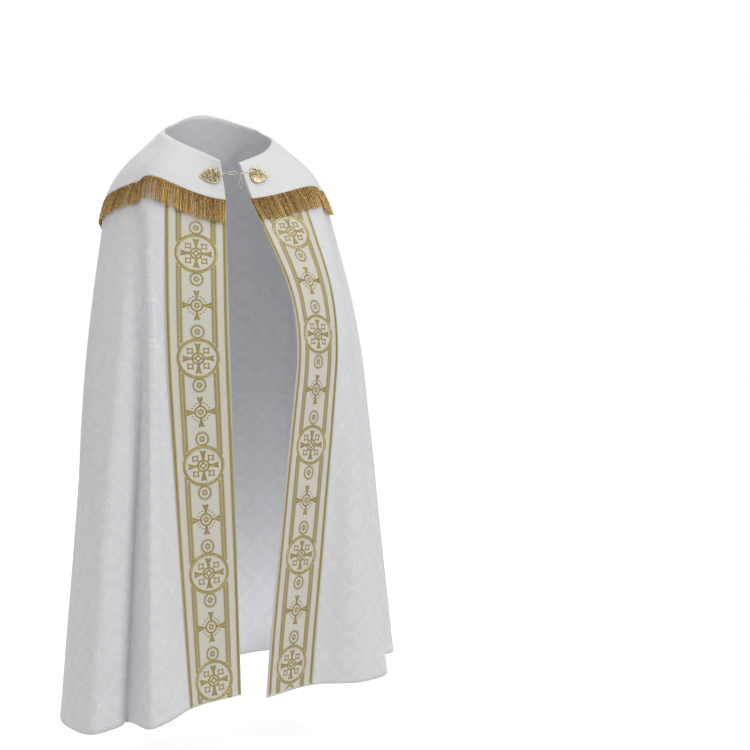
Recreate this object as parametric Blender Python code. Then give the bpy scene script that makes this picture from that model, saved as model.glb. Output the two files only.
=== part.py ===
"""A white cope as it hangs on its wearer: body, orphreys, hood with fringe, and chain clasp.

Metres, +Z up. The wearer faces -Y, and their right side is at -X. The origin is the centre of the
neck opening, level with the shoulders.

The body is one cut piece. It hangs as columns that run from the neckline to the hem. A place on it
is given by a share (0 at the right front edge, round the back, to 1 at the left front edge) and by a
distance down its column. Everything that lies on the body is made from the same columns, moved out.
"""

import math

import bmesh
import bpy
import numpy as np
from mathutils import Matrix, Vector

# Cloth walls and what parts them
BODY_WALL = 0.0015
BAND_WALL = 0.0012
HOOD_WALL = 0.0016
SEAM_GAP = 0.0003
HOOD_STAND_OFF = 0.0022  # the hood's inside over the orphreys' faces
HOOD_SEAM = 0.0009  # the hood's inside over the body at the neckline
HOOD_FIRST_ROW = 0.07  # of its drop: by here it has risen from its seam to its stand-off
HOOD_INSIDE = BODY_WALL / 2 + SEAM_GAP + BAND_WALL + HOOD_STAND_OFF  # from the body's middle
HOOD_OUTSIDE = HOOD_INSIDE + HOOD_WALL

# Orphreys
BAND_TOP_ROW = 3  # the body row under the hood where the orphreys begin

# Fringe
FRINGE_STRANDS = 160
FRINGE_LENGTH = 0.060
FRINGE_HEADING = 0.007
FRINGE_GAP = 0.0005  # from the hood's edge
STRAND_SHARE = 0.64  # of each strand's pitch
STRAND_DEPTH = 0.0024
STRAND_FLARE = 0.0030  # how far the tips stand out past the heading
STRAND_TAPER = 0.10  # of a strand's width, each side
STRAND_SWAY = 0.0005  # how far the tips wander, as a share of the hem
WANDER_STRAND, WANDER_STEP = 12.9898, 78.233  # angles that no strand repeats

# Clasp: stamped leaf plates and a wire chain
PLATE_HALF_LENGTH = 0.0240
PLATE_HALF_WIDTH = 0.0190
PLATE_THICK = 0.0030
PLATE_RIM = 0.0026
PLATE_DISH = 0.0010
PLATE_SCALLOPS = 18
PLATE_SCALLOP_DEPTH = 0.0006
POINTS_A_SCALLOP = 4
PLATE_WIDEST = 0.77  # the largest value of sin(a) * cos(a / 2) in a leaf's outline
PLATE_LIFT = 0.0009
WIRE = 0.0007  # radius
WIRE_CLEARANCE = 0.00035
LINK_LENGTH = 0.0176  # between the wire's centres
LINK_HALF_WIDTH = 0.0033
CHAIN_LINKS = 3
EYE_HOLE = 0.0023  # radius
EYE_RIM = 0.0039  # radius
EYE_THICK = 0.0014
EYE_SIDES = 16
POST_FOOT = PLATE_THICK / 3  # where the eye's post begins, inside its plate
EYE_AT = PLATE_HALF_LENGTH + EYE_HOLE  # from the plate's middle
CHAIN_HEIGHT = 0.0080  # the chain's middle over a plate's back
HOOK_BEND = 0.0019
HOOK_RETURN = 0.0034
HOOK_FOOT = 0.0150  # from the plate's middle
HOOK_STEPS = 8  # round its bend
LINK_STEPS = 6  # round each of a link's ends
WIRE_ROUNDNESS = 2  # 4 sides for each
TAIL_BACK = 0.0046  # from the hook to where the free end hangs
# Where the plates' middles sit on the hood: shares of the orphreys' widths, and distances down
CLASP_RIGHT = (0.27, 0.052)
CLASP_LEFT = (0.34, 0.046)
SEAT_SHARE = 0.016  # the hood under a plate, either side of its middle
SEAT_DROP = 0.026
SEAT_SAMPLES = 17  # each way over that place
SEAT_ROUNDS = 3  # of fitting the plate to the cloth it covers

# The hem, from the right front edge round the back to the left front edge
HEM = (
    # name, x, y, z
    ("edge_right", -0.085, -0.266, -1.257),
    ("band_right", -0.222, -0.306, -1.262),
    ("front_right", -0.282, -0.346, -1.270),
    ("ridge_right", -0.331, -0.366, -1.275),
    ("crease_right", -0.360, -0.292, -1.276),
    ("roll_in", -0.398, -0.313, -1.280),
    ("roll_front", -0.444, -0.322, -1.283),
    ("roll_out", -0.474, -0.240, -1.284),
    ("roll_side", -0.462, -0.136, -1.284),
    ("roll_back", -0.408, -0.062, -1.286),
    ("valley_right", -0.322, -0.050, -1.288),
    ("turn_right", -0.292, 0.002, -1.290),
    ("panel_right", -0.328, 0.070, -1.294),
    ("back_1", -0.288, 0.152, -1.300),
    ("back_2", -0.212, 0.214, -1.306),
    ("back_3", -0.125, 0.242, -1.310),
    ("back_4", -0.058, 0.233, -1.312),
    ("centre", 0.000, 0.226, -1.312),
    ("back_5", 0.065, 0.239, -1.312),
    ("back_6", 0.135, 0.256, -1.310),
    ("back_7", 0.203, 0.244, -1.306),
    ("panel_left", 0.242, 0.192, -1.300),
    ("wall_left", 0.240, 0.116, -1.296),
    ("valley_left", 0.268, 0.050, -1.292),
    ("turn_left", 0.308, 0.086, -1.289),
    ("fold_1", 0.360, 0.116, -1.285),
    ("fold_2", 0.408, 0.082, -1.279),
    ("fold_3", 0.431, 0.012, -1.272),
    ("fold_4", 0.408, -0.052, -1.266),
    ("valley_arm", 0.349, -0.078, -1.266),
    ("turn_arm", 0.318, -0.114, -1.268),
    ("ridge_left", 0.325, -0.174, -1.270),
    ("front_left", 0.294, -0.230, -1.268),
    ("front_2", 0.214, -0.258, -1.267),
    ("band_left", 0.106, -0.238, -1.265),
    ("edge_left", -0.031, -0.296, -1.265),
)
# The other rings name the hem row whose column they are on. The hands are level with this one.
HAND = (
    ("edge_right", -0.084, -0.210, -0.450),
    ("band_right", -0.230, -0.190, -0.450),
    ("ridge_right", -0.258, -0.181, -0.450),
    ("crease_right", -0.266, -0.154, -0.450),
    ("roll_front", -0.318, -0.140, -0.450),
    ("roll_out", -0.340, -0.088, -0.450),
    ("roll_side", -0.345, -0.028, -0.450),
    ("roll_back", -0.336, 0.024, -0.450),
    ("turn_right", -0.296, 0.058, -0.450),
    ("panel_right", -0.270, 0.100, -0.450),
    ("back_2", -0.196, 0.168, -0.450),
    ("back_3", -0.120, 0.190, -0.450),
    ("centre", 0.000, 0.191, -0.450),
    ("back_6", 0.120, 0.195, -0.450),
    ("panel_left", 0.206, 0.166, -0.450),
    ("valley_left", 0.234, 0.122, -0.450),
    ("fold_1", 0.284, 0.118, -0.450),
    ("fold_3", 0.338, 0.030, -0.450),
    ("fold_4", 0.328, -0.024, -0.450),
    ("valley_arm", 0.296, -0.058, -0.450),
    ("ridge_left", 0.262, -0.110, -0.448),
    ("front_left", 0.246, -0.162, -0.440),
    ("front_2", 0.216, -0.208, -0.430),
    ("band_left", 0.182, -0.237, -0.415),
    ("edge_left", 0.056, -0.309, -0.412),
)
SHOULDER = (
    ("edge_right", -0.055, -0.122, -0.150),
    ("band_right", -0.188, -0.092, -0.107),
    ("roll_front", -0.240, -0.024, -0.109),
    ("roll_side", -0.258, 0.046, -0.112),
    ("roll_back", -0.258, 0.098, -0.114),
    ("panel_right", -0.224, 0.146, -0.114),
    ("back_2", -0.152, 0.168, -0.100),
    ("centre", 0.000, 0.172, -0.085),
    ("back_7", 0.152, 0.168, -0.100),
    ("valley_left", 0.222, 0.142, -0.114),
    ("fold_2", 0.254, 0.086, -0.114),
    ("fold_4", 0.254, 0.030, -0.112),
    ("ridge_left", 0.216, -0.036, -0.109),
    ("band_left", 0.138, -0.098, -0.118),
    ("edge_left", 0.005, -0.125, -0.150),
)
NECK = (
    ("edge_right", -0.058, -0.100, -0.062),
    ("band_right", -0.104, -0.038, -0.033),
    ("roll_out", -0.130, 0.030, -0.006),
    ("roll_back", -0.128, 0.072, 0.006),
    ("back_1", -0.095, 0.106, 0.026),
    ("centre", 0.000, 0.126, 0.052),
    ("back_7", 0.090, 0.108, 0.027),
    ("fold_1", 0.122, 0.076, 0.006),
    ("fold_4", 0.122, 0.032, -0.006),
    ("front_left", 0.098, -0.020, -0.024),
    ("band_left", 0.056, -0.062, -0.046),
    ("edge_left", -0.018, -0.105, -0.068),
)
# How far the hood reaches down the body's columns from the neckline
HOOD_DROP_RIGHT = (
    ("edge_right", 0.094),
    ("band_right", 0.124),
    ("roll_front", 0.156),
    ("roll_side", 0.186),
    ("roll_back", 0.206),
    ("panel_right", 0.252),
    ("back_2", 0.304),
    ("back_3", 0.340),
    ("centre", 0.378),
)
HOOD_DROP_LEFT = (
    ("centre", 0.378),
    ("back_6", 0.336),
    ("back_7", 0.300),
    ("valley_left", 0.250),
    ("fold_2", 0.203),
    ("fold_4", 0.182),
    ("ridge_left", 0.160),
    ("band_left", 0.120),
    ("edge_left", 0.090),
)

# How far each bend of a column is rounded, and where the body has its rows
SHOULDER_BEND = 0.085
HAND_BEND = 0.140
BEND_SHARE = 0.45  # of the shorter leg at most
BEND_POINTS = 13
NUDGE_SHARE, NUDGE_DOWN = 0.0015, 0.004  # to the neighbours that give the cloth's slope
BODY_ROWS = (0.0, 0.022, 0.045, 0.068, 0.09, 0.115, 0.14, 0.17, 0.21, 0.26, 0.32, 0.39, 0.47, 0.56,
             0.66, 0.77, 0.88, 1.0)  # shares of a column's length
COLUMN_PITCH = 0.042
HOOD_COLUMNS = 57
HOOD_ROWS = 10
EDGE_SAMPLES = 601  # along the hood's lower edge
SMOOTH_BELOW = 50  # degrees between faces

WHITE_DAMASK = ("white_damask", (0.86, 0.86, 0.88, 1.0), 0.55, 0.0)
CREAM_SATIN = ("cream_satin", (0.88, 0.86, 0.80, 1.0), 0.45, 0.0)
SMOOTH_WHITE = ("smooth_white", (0.85, 0.85, 0.85, 1.0), 0.65, 0.0)
GOLD_THREAD = ("gold_thread", (0.55, 0.38, 0.12, 1.0), 0.45, 0.4)
PALE_GOLD = ("pale_gold", (0.78, 0.70, 0.48, 1.0), 0.28, 1.0)


def clear_scene():
    """Remove whatever the file opens with."""
    for obj in list(bpy.data.objects):
        bpy.data.objects.remove(obj, do_unlink=True)


def make_collection(name):
    """A collection linked to the scene."""
    collection = bpy.data.collections.new(name)
    bpy.context.scene.collection.children.link(collection)
    return collection


def make_material(owner, look):
    """A Principled material for one object."""
    name, colour, roughness, metallic = look
    material = bpy.data.materials.new(f"{owner}_{name}")
    material.use_nodes = True
    shader = material.node_tree.nodes["Principled BSDF"]
    shader.inputs["Base Color"].default_value = colour
    shader.inputs["Roughness"].default_value = roughness
    shader.inputs["Metallic"].default_value = metallic
    material.diffuse_color = colour
    return material


def add_object(name, data, look, collection):
    """An object with its own material, in a collection."""
    obj = bpy.data.objects.new(name, data)
    obj.data.materials.append(make_material(name, look))
    collection.objects.link(obj)
    return obj


def spline(known, values, wanted):
    """A smooth curve through values at the known shares, read at the wanted shares."""
    known, values = np.asarray(known, float), np.asarray(values, float)
    step = np.diff(known)[:, None]
    slope = np.diff(values, axis=0) / step
    inner = (slope[:-1] * step[1:] + slope[1:] * step[:-1]) / (step[:-1] + step[1:])
    tangent = np.vstack((slope[:1], inner, slope[-1:]))
    at = np.clip(np.searchsorted(known, wanted, side="right") - 1, 0, len(step) - 1)
    h = step[at]
    t = (np.asarray(wanted, float)[:, None] - known[at][:, None]) / h
    return (
        (2 * t**3 - 3 * t**2 + 1) * values[at]
        + (t**3 - 2 * t**2 + t) * h * tangent[at]
        + (3 * t**2 - 2 * t**3) * values[at + 1]
        + (t**3 - t**2) * h * tangent[at + 1]
    )


def hem_shares():
    """Each hem row's share of the hem's length, by name."""
    points = np.array([row[1:] for row in HEM])
    length = np.r_[0, np.cumsum(np.linalg.norm(np.diff(points, axis=0), axis=1))]
    return {row[0]: share for row, share in zip(HEM, length / length[-1])}


SHARE = hem_shares()


def ring(table, shares):
    """The points of a ring's table at some shares."""
    return spline([SHARE[row[0]] for row in table], [row[1:] for row in table], shares)


def rounded(corners, bends):
    """A line through some corners, each of the inner ones rounded over its bend."""
    line = [corners[0]]
    for before, corner, after, bend in zip(corners, corners[1:], corners[2:], bends):
        back, ahead = before - corner, after - corner
        reach = min(bend, BEND_SHARE * min(np.linalg.norm(back), np.linalg.norm(ahead)))
        start = corner + back / np.linalg.norm(back) * reach
        end = corner + ahead / np.linalg.norm(ahead) * reach
        for t in np.linspace(0, 1, BEND_POINTS):
            line.append((1 - t) ** 2 * start + 2 * t * (1 - t) * corner + t**2 * end)
    line.append(corners[-1])
    return np.array(line)


def columns(shares):
    """The body's columns at some shares, each as a line from neckline to hem."""
    rings = [ring(table, shares) for table in (NECK, SHOULDER, HAND, HEM)]
    return [rounded(corners, (SHOULDER_BEND, HAND_BEND)) for corners in zip(*rings)]


def down(line, distances):
    """Points at some distances from the top of a column, run on straight past its ends."""
    length = np.r_[0, np.cumsum(np.linalg.norm(np.diff(line, axis=0), axis=1))]
    inside = np.clip(distances, 0, length[-1])
    points = np.array([np.interp(inside, length, line[:, k]) for k in range(3)]).T
    top = (line[0] - line[1]) / length[1]
    return points + np.clip(-np.asarray(distances), 0, None)[:, None] * top


def length_of(line):
    """The length of a column."""
    return np.linalg.norm(np.diff(line, axis=0), axis=1).sum()


def lay(shares, distances, outward):
    """A grid of points on the body's middle surface, moved out. One row of distances a share."""
    shares = np.asarray(shares, float)
    middle = columns(shares)
    left = columns(np.clip(shares - NUDGE_SHARE, 0, 1))
    right = columns(np.clip(shares + NUDGE_SHARE, 0, 1))
    grid = []
    for k, row in enumerate(distances):
        row = np.asarray(row, float)
        along = down(right[k], row) - down(left[k], row)
        fall = down(middle[k], row + NUDGE_DOWN) - down(middle[k], row - NUDGE_DOWN)
        fall[row + NUDGE_DOWN > length_of(middle[k])] = middle[k][-1] - middle[k][-2]
        normal = np.cross(along, fall)
        normal /= np.linalg.norm(normal, axis=1)[:, None]
        grid.append(down(middle[k], row) + normal * np.asarray(outward)[..., None])
    return np.array(grid)


def skin(mesh, grid, flipped):
    """Add a grid's points and faces to a mesh."""
    points = [[mesh.verts.new(point) for point in line] for line in grid]
    for this, following in zip(points, points[1:]):
        for k in range(len(this) - 1):
            a, b, c, d = this[k], this[k + 1], following[k + 1], following[k]
            mesh.faces.new((a, b, c, d) if flipped else (a, d, c, b))
    return points


def finish(name, mesh, look, collection):
    """Make an object of a mesh whose faces all point out."""
    bmesh.ops.triangulate(mesh, faces=mesh.faces, quad_method="FIXED")
    bmesh.ops.recalc_face_normals(mesh, faces=mesh.faces)
    data = bpy.data.meshes.new(name)
    mesh.to_mesh(data)
    mesh.free()
    data.shade_smooth()
    data.set_sharp_from_angle(angle=math.radians(SMOOTH_BELOW))
    return add_object(name, data, look, collection)


def shell(name, outer, inner, look, collection):
    """A closed wall between an outer and an inner grid of the same size."""
    mesh = bmesh.new()
    out, back = skin(mesh, outer, False), skin(mesh, inner, True)
    for end in (0, -1):
        columns_end = (out[end], back[end])
        rows_end = ([line[end] for line in out], [line[end] for line in back])
        for a, b in (columns_end, rows_end):
            for k in range(len(a) - 1):
                mesh.faces.new((a[k], a[k + 1], b[k + 1], b[k]))
    return finish(name, mesh, look, collection)


def body_shares():
    """The shares of the body's columns: each hem row, and some between."""
    hem = np.array([row[1:] for row in HEM])
    at = [SHARE[row[0]] for row in HEM]
    shares = []
    for k, length in enumerate(np.linalg.norm(np.diff(hem, axis=0), axis=1)):
        parts = max(2, round(length / COLUMN_PITCH))
        shares += [at[k] + (at[k + 1] - at[k]) * j / parts for j in range(parts)]
    return shares + [1.0]


def on_body(name, shares, rows, inside, outside, look, collection):
    """A wall on the body's own columns and rows, between two distances out from its middle."""
    distances = [np.asarray(rows) * length_of(line) for line in columns(shares)]
    outer, inner = lay(shares, distances, outside), lay(shares, distances, inside)
    return shell(name, outer, inner, look, collection)


def hood_drop(shares):
    """How far the hood reaches down the columns at some shares."""
    halves = []
    for table in (HOOD_DROP_RIGHT, HOOD_DROP_LEFT):
        known, drop = [SHARE[row[0]] for row in table], [row[1:] for row in table]
        halves.append(spline(known, drop, np.clip(shares, known[0], known[-1]))[:, 0])
    return np.where(np.asarray(shares) < SHARE["centre"], *halves)


def edge_shares(count):
    """Shares evenly spaced along the hood's lower edge, one of them at its point."""
    fine = np.linspace(0, 1, EDGE_SAMPLES)
    drops = hood_drop(fine)
    edge = np.array([down(line, [drop])[0] for line, drop in zip(columns(fine), drops)])
    length = np.r_[0, np.cumsum(np.linalg.norm(np.diff(edge, axis=0), axis=1))]
    shares = np.interp(np.linspace(0, length[-1], count), length, fine)
    shares[np.abs(shares - SHARE["centre"]).argmin()] = SHARE["centre"]
    return shares


def build_hood(collection):
    """The hood: a shield behind, drawn over the shoulders to the front edges in one piece."""
    shares = edge_shares(HOOD_COLUMNS)
    rows = np.r_[0, np.linspace(HOOD_FIRST_ROW, 1, HOOD_ROWS - 1)]
    distances = [rows * drop for drop in hood_drop(shares)]
    inside = np.full(HOOD_ROWS, HOOD_INSIDE)
    inside[0] = BODY_WALL / 2 + HOOD_SEAM
    outer, inner = lay(shares, distances, inside + HOOD_WALL), lay(shares, distances, inside)
    return shell("hood", outer, inner, SMOOTH_WHITE, collection)


def wander(k, step):
    """A steady number from -1 to 1 for a strand."""
    return math.sin(WANDER_STRAND * k + WANDER_STEP * step)


def build_fringe(collection):
    """The fringe: a heading parted from the hood's edge, with strands that fall from it."""
    shares = edge_shares(HOOD_COLUMNS)
    inside = HOOD_INSIDE + (HOOD_WALL - STRAND_DEPTH) / 2
    outside = inside + STRAND_DEPTH
    middle = (FRINGE_HEADING + FRINGE_LENGTH) / 2
    rows = np.array([FRINGE_GAP, FRINGE_HEADING, middle, FRINGE_LENGTH])
    flare = np.array([0, 0, STRAND_FLARE / 2, STRAND_FLARE])
    distances = [drop + rows for drop in hood_drop(shares)]
    sides = [lay(shares, distances, offset + flare) for offset in (outside, inside)]

    def spot(side, row, share):
        """A point of the fringe's outer or inner side, between the hood's columns."""
        share = min(max(share, 0), 1)
        return [np.interp(share, shares, sides[side][:, row, k]) for k in range(3)]

    mesh = bmesh.new()
    starts = edge_shares(FRINGE_STRANDS + 1)
    cells = []
    for a, b in zip(starts, starts[1:]):
        cells += [a, a + (b - a) * STRAND_SHARE]
    corners = ((0, 0), (0, 1), (1, 1), (1, 0))
    ribs = [[mesh.verts.new(spot(side, row, share)) for side, row in corners] for share in cells]
    for this, following in zip(ribs, ribs[1:]):
        for a, b in ((0, 1), (2, 3), (3, 0)):
            mesh.faces.new((this[a], this[b], following[b], following[a]))
    mesh.faces.new(ribs[0][::-1])
    mesh.faces.new(ribs[-1])
    for k, (this, following) in enumerate(zip(ribs, ribs[1:])):
        low = (this[1], this[2], following[2], following[1])
        if k % 2 == 0:
            narrow = (cells[k + 1] - cells[k]) * STRAND_TAPER
            for row in (2, 3):
                part = (row - 1) / 2
                sway = STRAND_SWAY * wander(k, row) * part
                left, right = cells[k] + narrow * part + sway, cells[k + 1] - narrow * part + sway
                around = ((0, left), (1, left), (1, right), (0, right))
                next_low = [mesh.verts.new(spot(side, row, share)) for side, share in around]
                for j in range(4):
                    mesh.faces.new((low[j - 1], next_low[j - 1], next_low[j], low[j]))
                low = next_low
        mesh.faces.new(low)
    return finish("fringe", mesh, GOLD_THREAD, collection)


def leaf_outline():
    """A leaf: round where the chain joins at +X, pointed at -X, with a scalloped edge."""
    points = []
    count = POINTS_A_SCALLOP * PLATE_SCALLOPS
    for k in range(count):
        a = 2 * math.pi * k / count
        half = a if a <= math.pi else 2 * math.pi - a
        scallop = 2 * abs(math.sin(PLATE_SCALLOPS * a / 2)) - 1
        grow = 1 + PLATE_SCALLOP_DEPTH / PLATE_HALF_WIDTH * scallop
        x = PLATE_HALF_LENGTH * math.cos(a)
        y = PLATE_HALF_WIDTH / PLATE_WIDEST * math.sin(a) * math.cos(half / 2)
        points.append((x * grow, y * grow))
    return points


def turned(name, radius, depth, sides):
    """A cylinder about Z, standing on its own origin's plane."""
    mesh = bmesh.new()
    bmesh.ops.create_cone(
        mesh, cap_ends=True, segments=sides, radius1=radius, radius2=radius, depth=depth
    )
    data = bpy.data.meshes.new(name)
    mesh.to_mesh(data)
    mesh.free()
    return data


def build_plate(name, place, collection):
    """A stamped leaf with a raised rim round a shallow dish."""
    mesh = bmesh.new()
    face = mesh.faces.new([mesh.verts.new((x, y, 0)) for x, y in leaf_outline()])
    raised = bmesh.ops.extrude_face_region(mesh, geom=[face])["geom"]
    top = [item for item in raised if isinstance(item, bmesh.types.BMFace)][0]
    bmesh.ops.translate(mesh, verts=top.verts, vec=(0, 0, PLATE_THICK))
    bmesh.ops.inset_region(mesh, faces=[top], thickness=PLATE_RIM, depth=0)
    bmesh.ops.translate(mesh, verts=top.verts, vec=(0, 0, -PLATE_DISH))
    bmesh.ops.recalc_face_normals(mesh, faces=mesh.faces)
    data = bpy.data.meshes.new(name)
    mesh.to_mesh(data)
    mesh.free()
    plate = add_object(name, data, PALE_GOLD, collection)
    plate.matrix_world = place
    return plate


def add_eye(plate, cutters):
    """Give a plate's round end an eye, on a post that lifts it to the chain's height."""
    post_top = CHAIN_HEIGHT + EYE_THICK / 2 - SEAM_GAP
    post = (EYE_RIM - EYE_HOLE, post_top - POST_FOOT, EYE_AT - EYE_RIM, (post_top + POST_FOOT) / 2)
    eye = (EYE_RIM, EYE_THICK, EYE_AT, CHAIN_HEIGHT)
    hole = (EYE_HOLE, 4 * EYE_THICK, EYE_AT, CHAIN_HEIGHT)
    for label, operation, (radius, depth, x, z) in (
        ("post", "UNION", post), ("eye", "UNION", eye), ("hole", "DIFFERENCE", hole)
    ):
        name = f"{plate.name}_{label}"
        tool = bpy.data.objects.new(name, turned(name, radius, depth, EYE_SIDES))
        tool.matrix_world = plate.matrix_world @ Matrix.Translation((x, 0, z))
        tool.hide_render = True
        tool.display_type = "WIRE"
        cutters.objects.link(tool)
        modifier = plate.modifiers.new(label, "BOOLEAN")
        modifier.operation = operation
        modifier.object = tool


def wire(name, points, cyclic, collection):
    """A wire along some points."""
    curve = bpy.data.curves.new(name, "CURVE")
    curve.dimensions = "3D"
    curve.bevel_depth = WIRE
    curve.bevel_resolution = WIRE_ROUNDNESS
    curve.use_fill_caps = not cyclic
    line = curve.splines.new("POLY")
    line.points.add(len(points) - 1)
    for spot, point in zip(line.points, points):
        spot.co = (*point, 1)
    line.use_cyclic_u = cyclic
    return add_object(name, curve, PALE_GOLD, collection)


def link_points(start=0):
    """An oval link along +X in the XY plane, its first end's wire centred at a start."""
    points = []
    straight = LINK_LENGTH - 2 * LINK_HALF_WIDTH
    for middle, begin in ((straight / 2, -90), (-straight / 2, 90)):
        for k in range(LINK_STEPS + 1):
            a = math.radians(begin + 180 * k / LINK_STEPS)
            x = start + LINK_LENGTH / 2 + middle + LINK_HALF_WIDTH * math.cos(a)
            points.append((x, LINK_HALF_WIDTH * math.sin(a), 0))
    return points


def frame_at(origin, along, normal):
    """A placement with Z out of the cloth and X, across it, as near a direction as it can be."""
    z = Vector(normal).normalized()
    y = z.cross(Vector(along)).normalized()
    placed = Matrix((y.cross(z), y, z)).transposed().to_4x4()
    placed.translation = origin
    return placed


def seat(share, distance, toward):
    """A plate's placement: flat on the highest places of the hood under it, its eye toward a point."""
    spread = np.linspace(-1, 1, SEAT_SAMPLES)
    shares = np.clip(share + SEAT_SHARE * spread, 0, 1)
    rows = [distance + SEAT_DROP * spread] * len(spread)
    points = lay(shares, rows, HOOD_OUTSIDE).reshape(-1, 3)
    centre = Vector(lay([share], [[distance]], HOOD_OUTSIDE)[0, 0])
    covered = points
    for _ in range(SEAT_ROUNDS):
        middle = covered.mean(axis=0)
        normal = Vector(np.linalg.svd(covered - middle)[2][2])
        if normal.y > 0:
            normal.negate()
        place = frame_at(centre, toward - centre, normal)
        local = np.array([place.inverted() @ Vector(point) for point in points])
        inside = (local[:, 0] / PLATE_HALF_LENGTH) ** 2 + (local[:, 1] / PLATE_HALF_WIDTH) ** 2 < 1
        covered = points[inside]
    place.translation = centre + normal * (local[inside][:, 2].max() + PLATE_LIFT)
    return place


def build_hook(plate, chain, reach, collection):
    """A wire hook: up from the left plate, along, and round the chain's last link."""
    from_plate = chain.inverted() @ plate
    foot = PLATE_THICK - PLATE_DISH + SEAM_GAP
    points = [from_plate @ Vector((HOOK_FOOT, 0, height)) for height in (foot, CHAIN_HEIGHT - 2 * WIRE)]
    for k in range(HOOK_STEPS + 1):
        a = math.radians(90 - 180 * k / HOOK_STEPS)
        points.append((reach + HOOK_BEND * (1 - math.cos(a)), HOOK_BEND * math.sin(a), 0))
    points.append((reach + HOOK_BEND + HOOK_RETURN, -HOOK_BEND, 0))
    wire("clasp_hook", points, False, collection).matrix_world = chain


def build_clasp(collection, cutters):
    """Two leaf plates, the chain between them, the hook, and the chain's free end."""
    right_share = CLASP_RIGHT[0] * SHARE["band_right"]
    left_share = 1 - CLASP_LEFT[0] * (1 - SHARE["band_left"])
    middle = [
        Vector(lay([share], [[drop]], HOOD_OUTSIDE)[0, 0])
        for share, drop in ((right_share, CLASP_RIGHT[1]), (left_share, CLASP_LEFT[1]))
    ]
    right = seat(right_share, CLASP_RIGHT[1], middle[1])
    left = seat(left_share, CLASP_LEFT[1], middle[0])
    add_eye(build_plate("clasp_plate_right", right, collection), cutters)
    build_plate("clasp_plate_left", left, collection)

    rim = (EYE_RIM + EYE_HOLE) / 2
    start = right @ Vector((EYE_AT + rim, 0, CHAIN_HEIGHT))
    goal = left @ Vector((PLATE_HALF_LENGTH, 0, CHAIN_HEIGHT))
    x = (goal - start).normalized()
    z = x.cross(Vector((0, 0, 1))).normalized()
    chain = Matrix((x, z.cross(x), z)).transposed().to_4x4()
    chain.translation = start
    step = 2 * WIRE + WIRE_CLEARANCE
    first = -((EYE_RIM - EYE_HOLE) / 2 + WIRE + 2 * WIRE_CLEARANCE)
    edge_on = Matrix.Rotation(math.radians(90), 4, "X")
    at = first
    for k in range(CHAIN_LINKS):
        turn = Matrix.Identity(4) if k % 2 else edge_on
        link = wire(f"chain_link_{k + 1}", link_points(), True, collection)
        link.matrix_world = chain @ Matrix.Translation((at, 0, 0)) @ turn
        at += LINK_LENGTH - step
    build_hook(left, chain, at, collection)

    upper_hinge = chain @ Vector((at - TAIL_BACK, 0, LINK_HALF_WIDTH))
    lower_hinge = upper_hinge - Vector((0, 0, LINK_LENGTH - step))
    along, outward = chain.col[0].xyz, chain.col[2].xyz
    tail = (("tail_link_1", upper_hinge, outward), ("tail_link_2", lower_hinge, along))
    fall = Vector((0, 0, -1))
    for name, hinge, side in tail:
        link = wire(name, link_points(-step), True, collection)
        link.matrix_world = Matrix((fall, side, fall.cross(side))).transposed().to_4x4()
        link.location = hinge


def main():
    """Build the cope."""
    clear_scene()
    cope = make_collection("cope")
    cutters = make_collection("cutters")
    body_half = BODY_WALL / 2
    shares = body_shares()
    on_body("body", shares, BODY_ROWS, -body_half, body_half, WHITE_DAMASK, cope)
    band_inside = body_half + SEAM_GAP
    band_rows = BODY_ROWS[BAND_TOP_ROW:]
    for name, owned in (
        ("orphrey_right", [s for s in shares if s <= SHARE["band_right"] + 1e-9]),
        ("orphrey_left", [s for s in shares if s >= SHARE["band_left"] - 1e-9]),
    ):
        on_body(name, owned, band_rows, band_inside, band_inside + BAND_WALL, CREAM_SATIN, cope)
    build_hood(cope)
    build_fringe(cope)
    build_clasp(cope, cutters)


main()
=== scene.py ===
"""A white cope as it hangs on its wearer: damask body, orphreys, fringed hood and chain clasp."""

import math

import bpy
import numpy as np
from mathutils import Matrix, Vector


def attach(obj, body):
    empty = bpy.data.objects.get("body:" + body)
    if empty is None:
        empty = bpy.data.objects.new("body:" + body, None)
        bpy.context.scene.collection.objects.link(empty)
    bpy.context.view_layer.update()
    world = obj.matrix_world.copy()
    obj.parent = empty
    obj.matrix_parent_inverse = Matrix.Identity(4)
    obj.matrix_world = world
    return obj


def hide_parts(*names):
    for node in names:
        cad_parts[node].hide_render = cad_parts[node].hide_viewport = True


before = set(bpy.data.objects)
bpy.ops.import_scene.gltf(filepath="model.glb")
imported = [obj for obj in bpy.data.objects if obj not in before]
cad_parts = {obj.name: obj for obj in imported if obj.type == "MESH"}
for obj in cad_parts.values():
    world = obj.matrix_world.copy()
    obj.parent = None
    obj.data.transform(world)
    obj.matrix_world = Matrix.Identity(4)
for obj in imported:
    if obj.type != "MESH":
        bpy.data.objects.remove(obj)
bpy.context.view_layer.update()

# ---------------------------------------------------------------------------------------------
# Camera, floor and light
# A plain pale floor below the hem, and large soft lamps round the front. The wearer faces -Y.
# ---------------------------------------------------------------------------------------------
CAMERA_PLACE = (-1.482, -3.706, -0.201)
CAMERA_TURN = 26.75  # degrees from +Y towards +X
CAMERA_TILT = -5.19
CAMERA_LENS = 80.99
CAMERA_SENSOR = 36.0
LAMPS = (
    # name, place, the point that it faces, size, power
    ("key_light", (2.5, -3.1, 1.9), (0, 0, -0.6), 1.2, 46),
    ("fill_light", (-3.6, -2.0, 0.4), (0, 0, -0.7), 2.2, 6),
    ("back_light", (0.6, 3.6, 1.5), (0, 0, -0.6), 2.4, 34),
    ("top_light", (0.1, -0.5, 2.6), (0, 0, -0.4), 0.9, 18),
    ("inside_light", (0.02, -0.06, -1.33), (0, -0.02, 0), 0.40, 0.75),
)
SURROUND_LIGHT = 0.52  # the white surround gives this much, and looks full white
FLOOR_HEIGHT = -1.43
FLOOR_REACH = 60.0
FLOOR_COLOUR = (0.93, 0.93, 0.93, 1)
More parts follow.
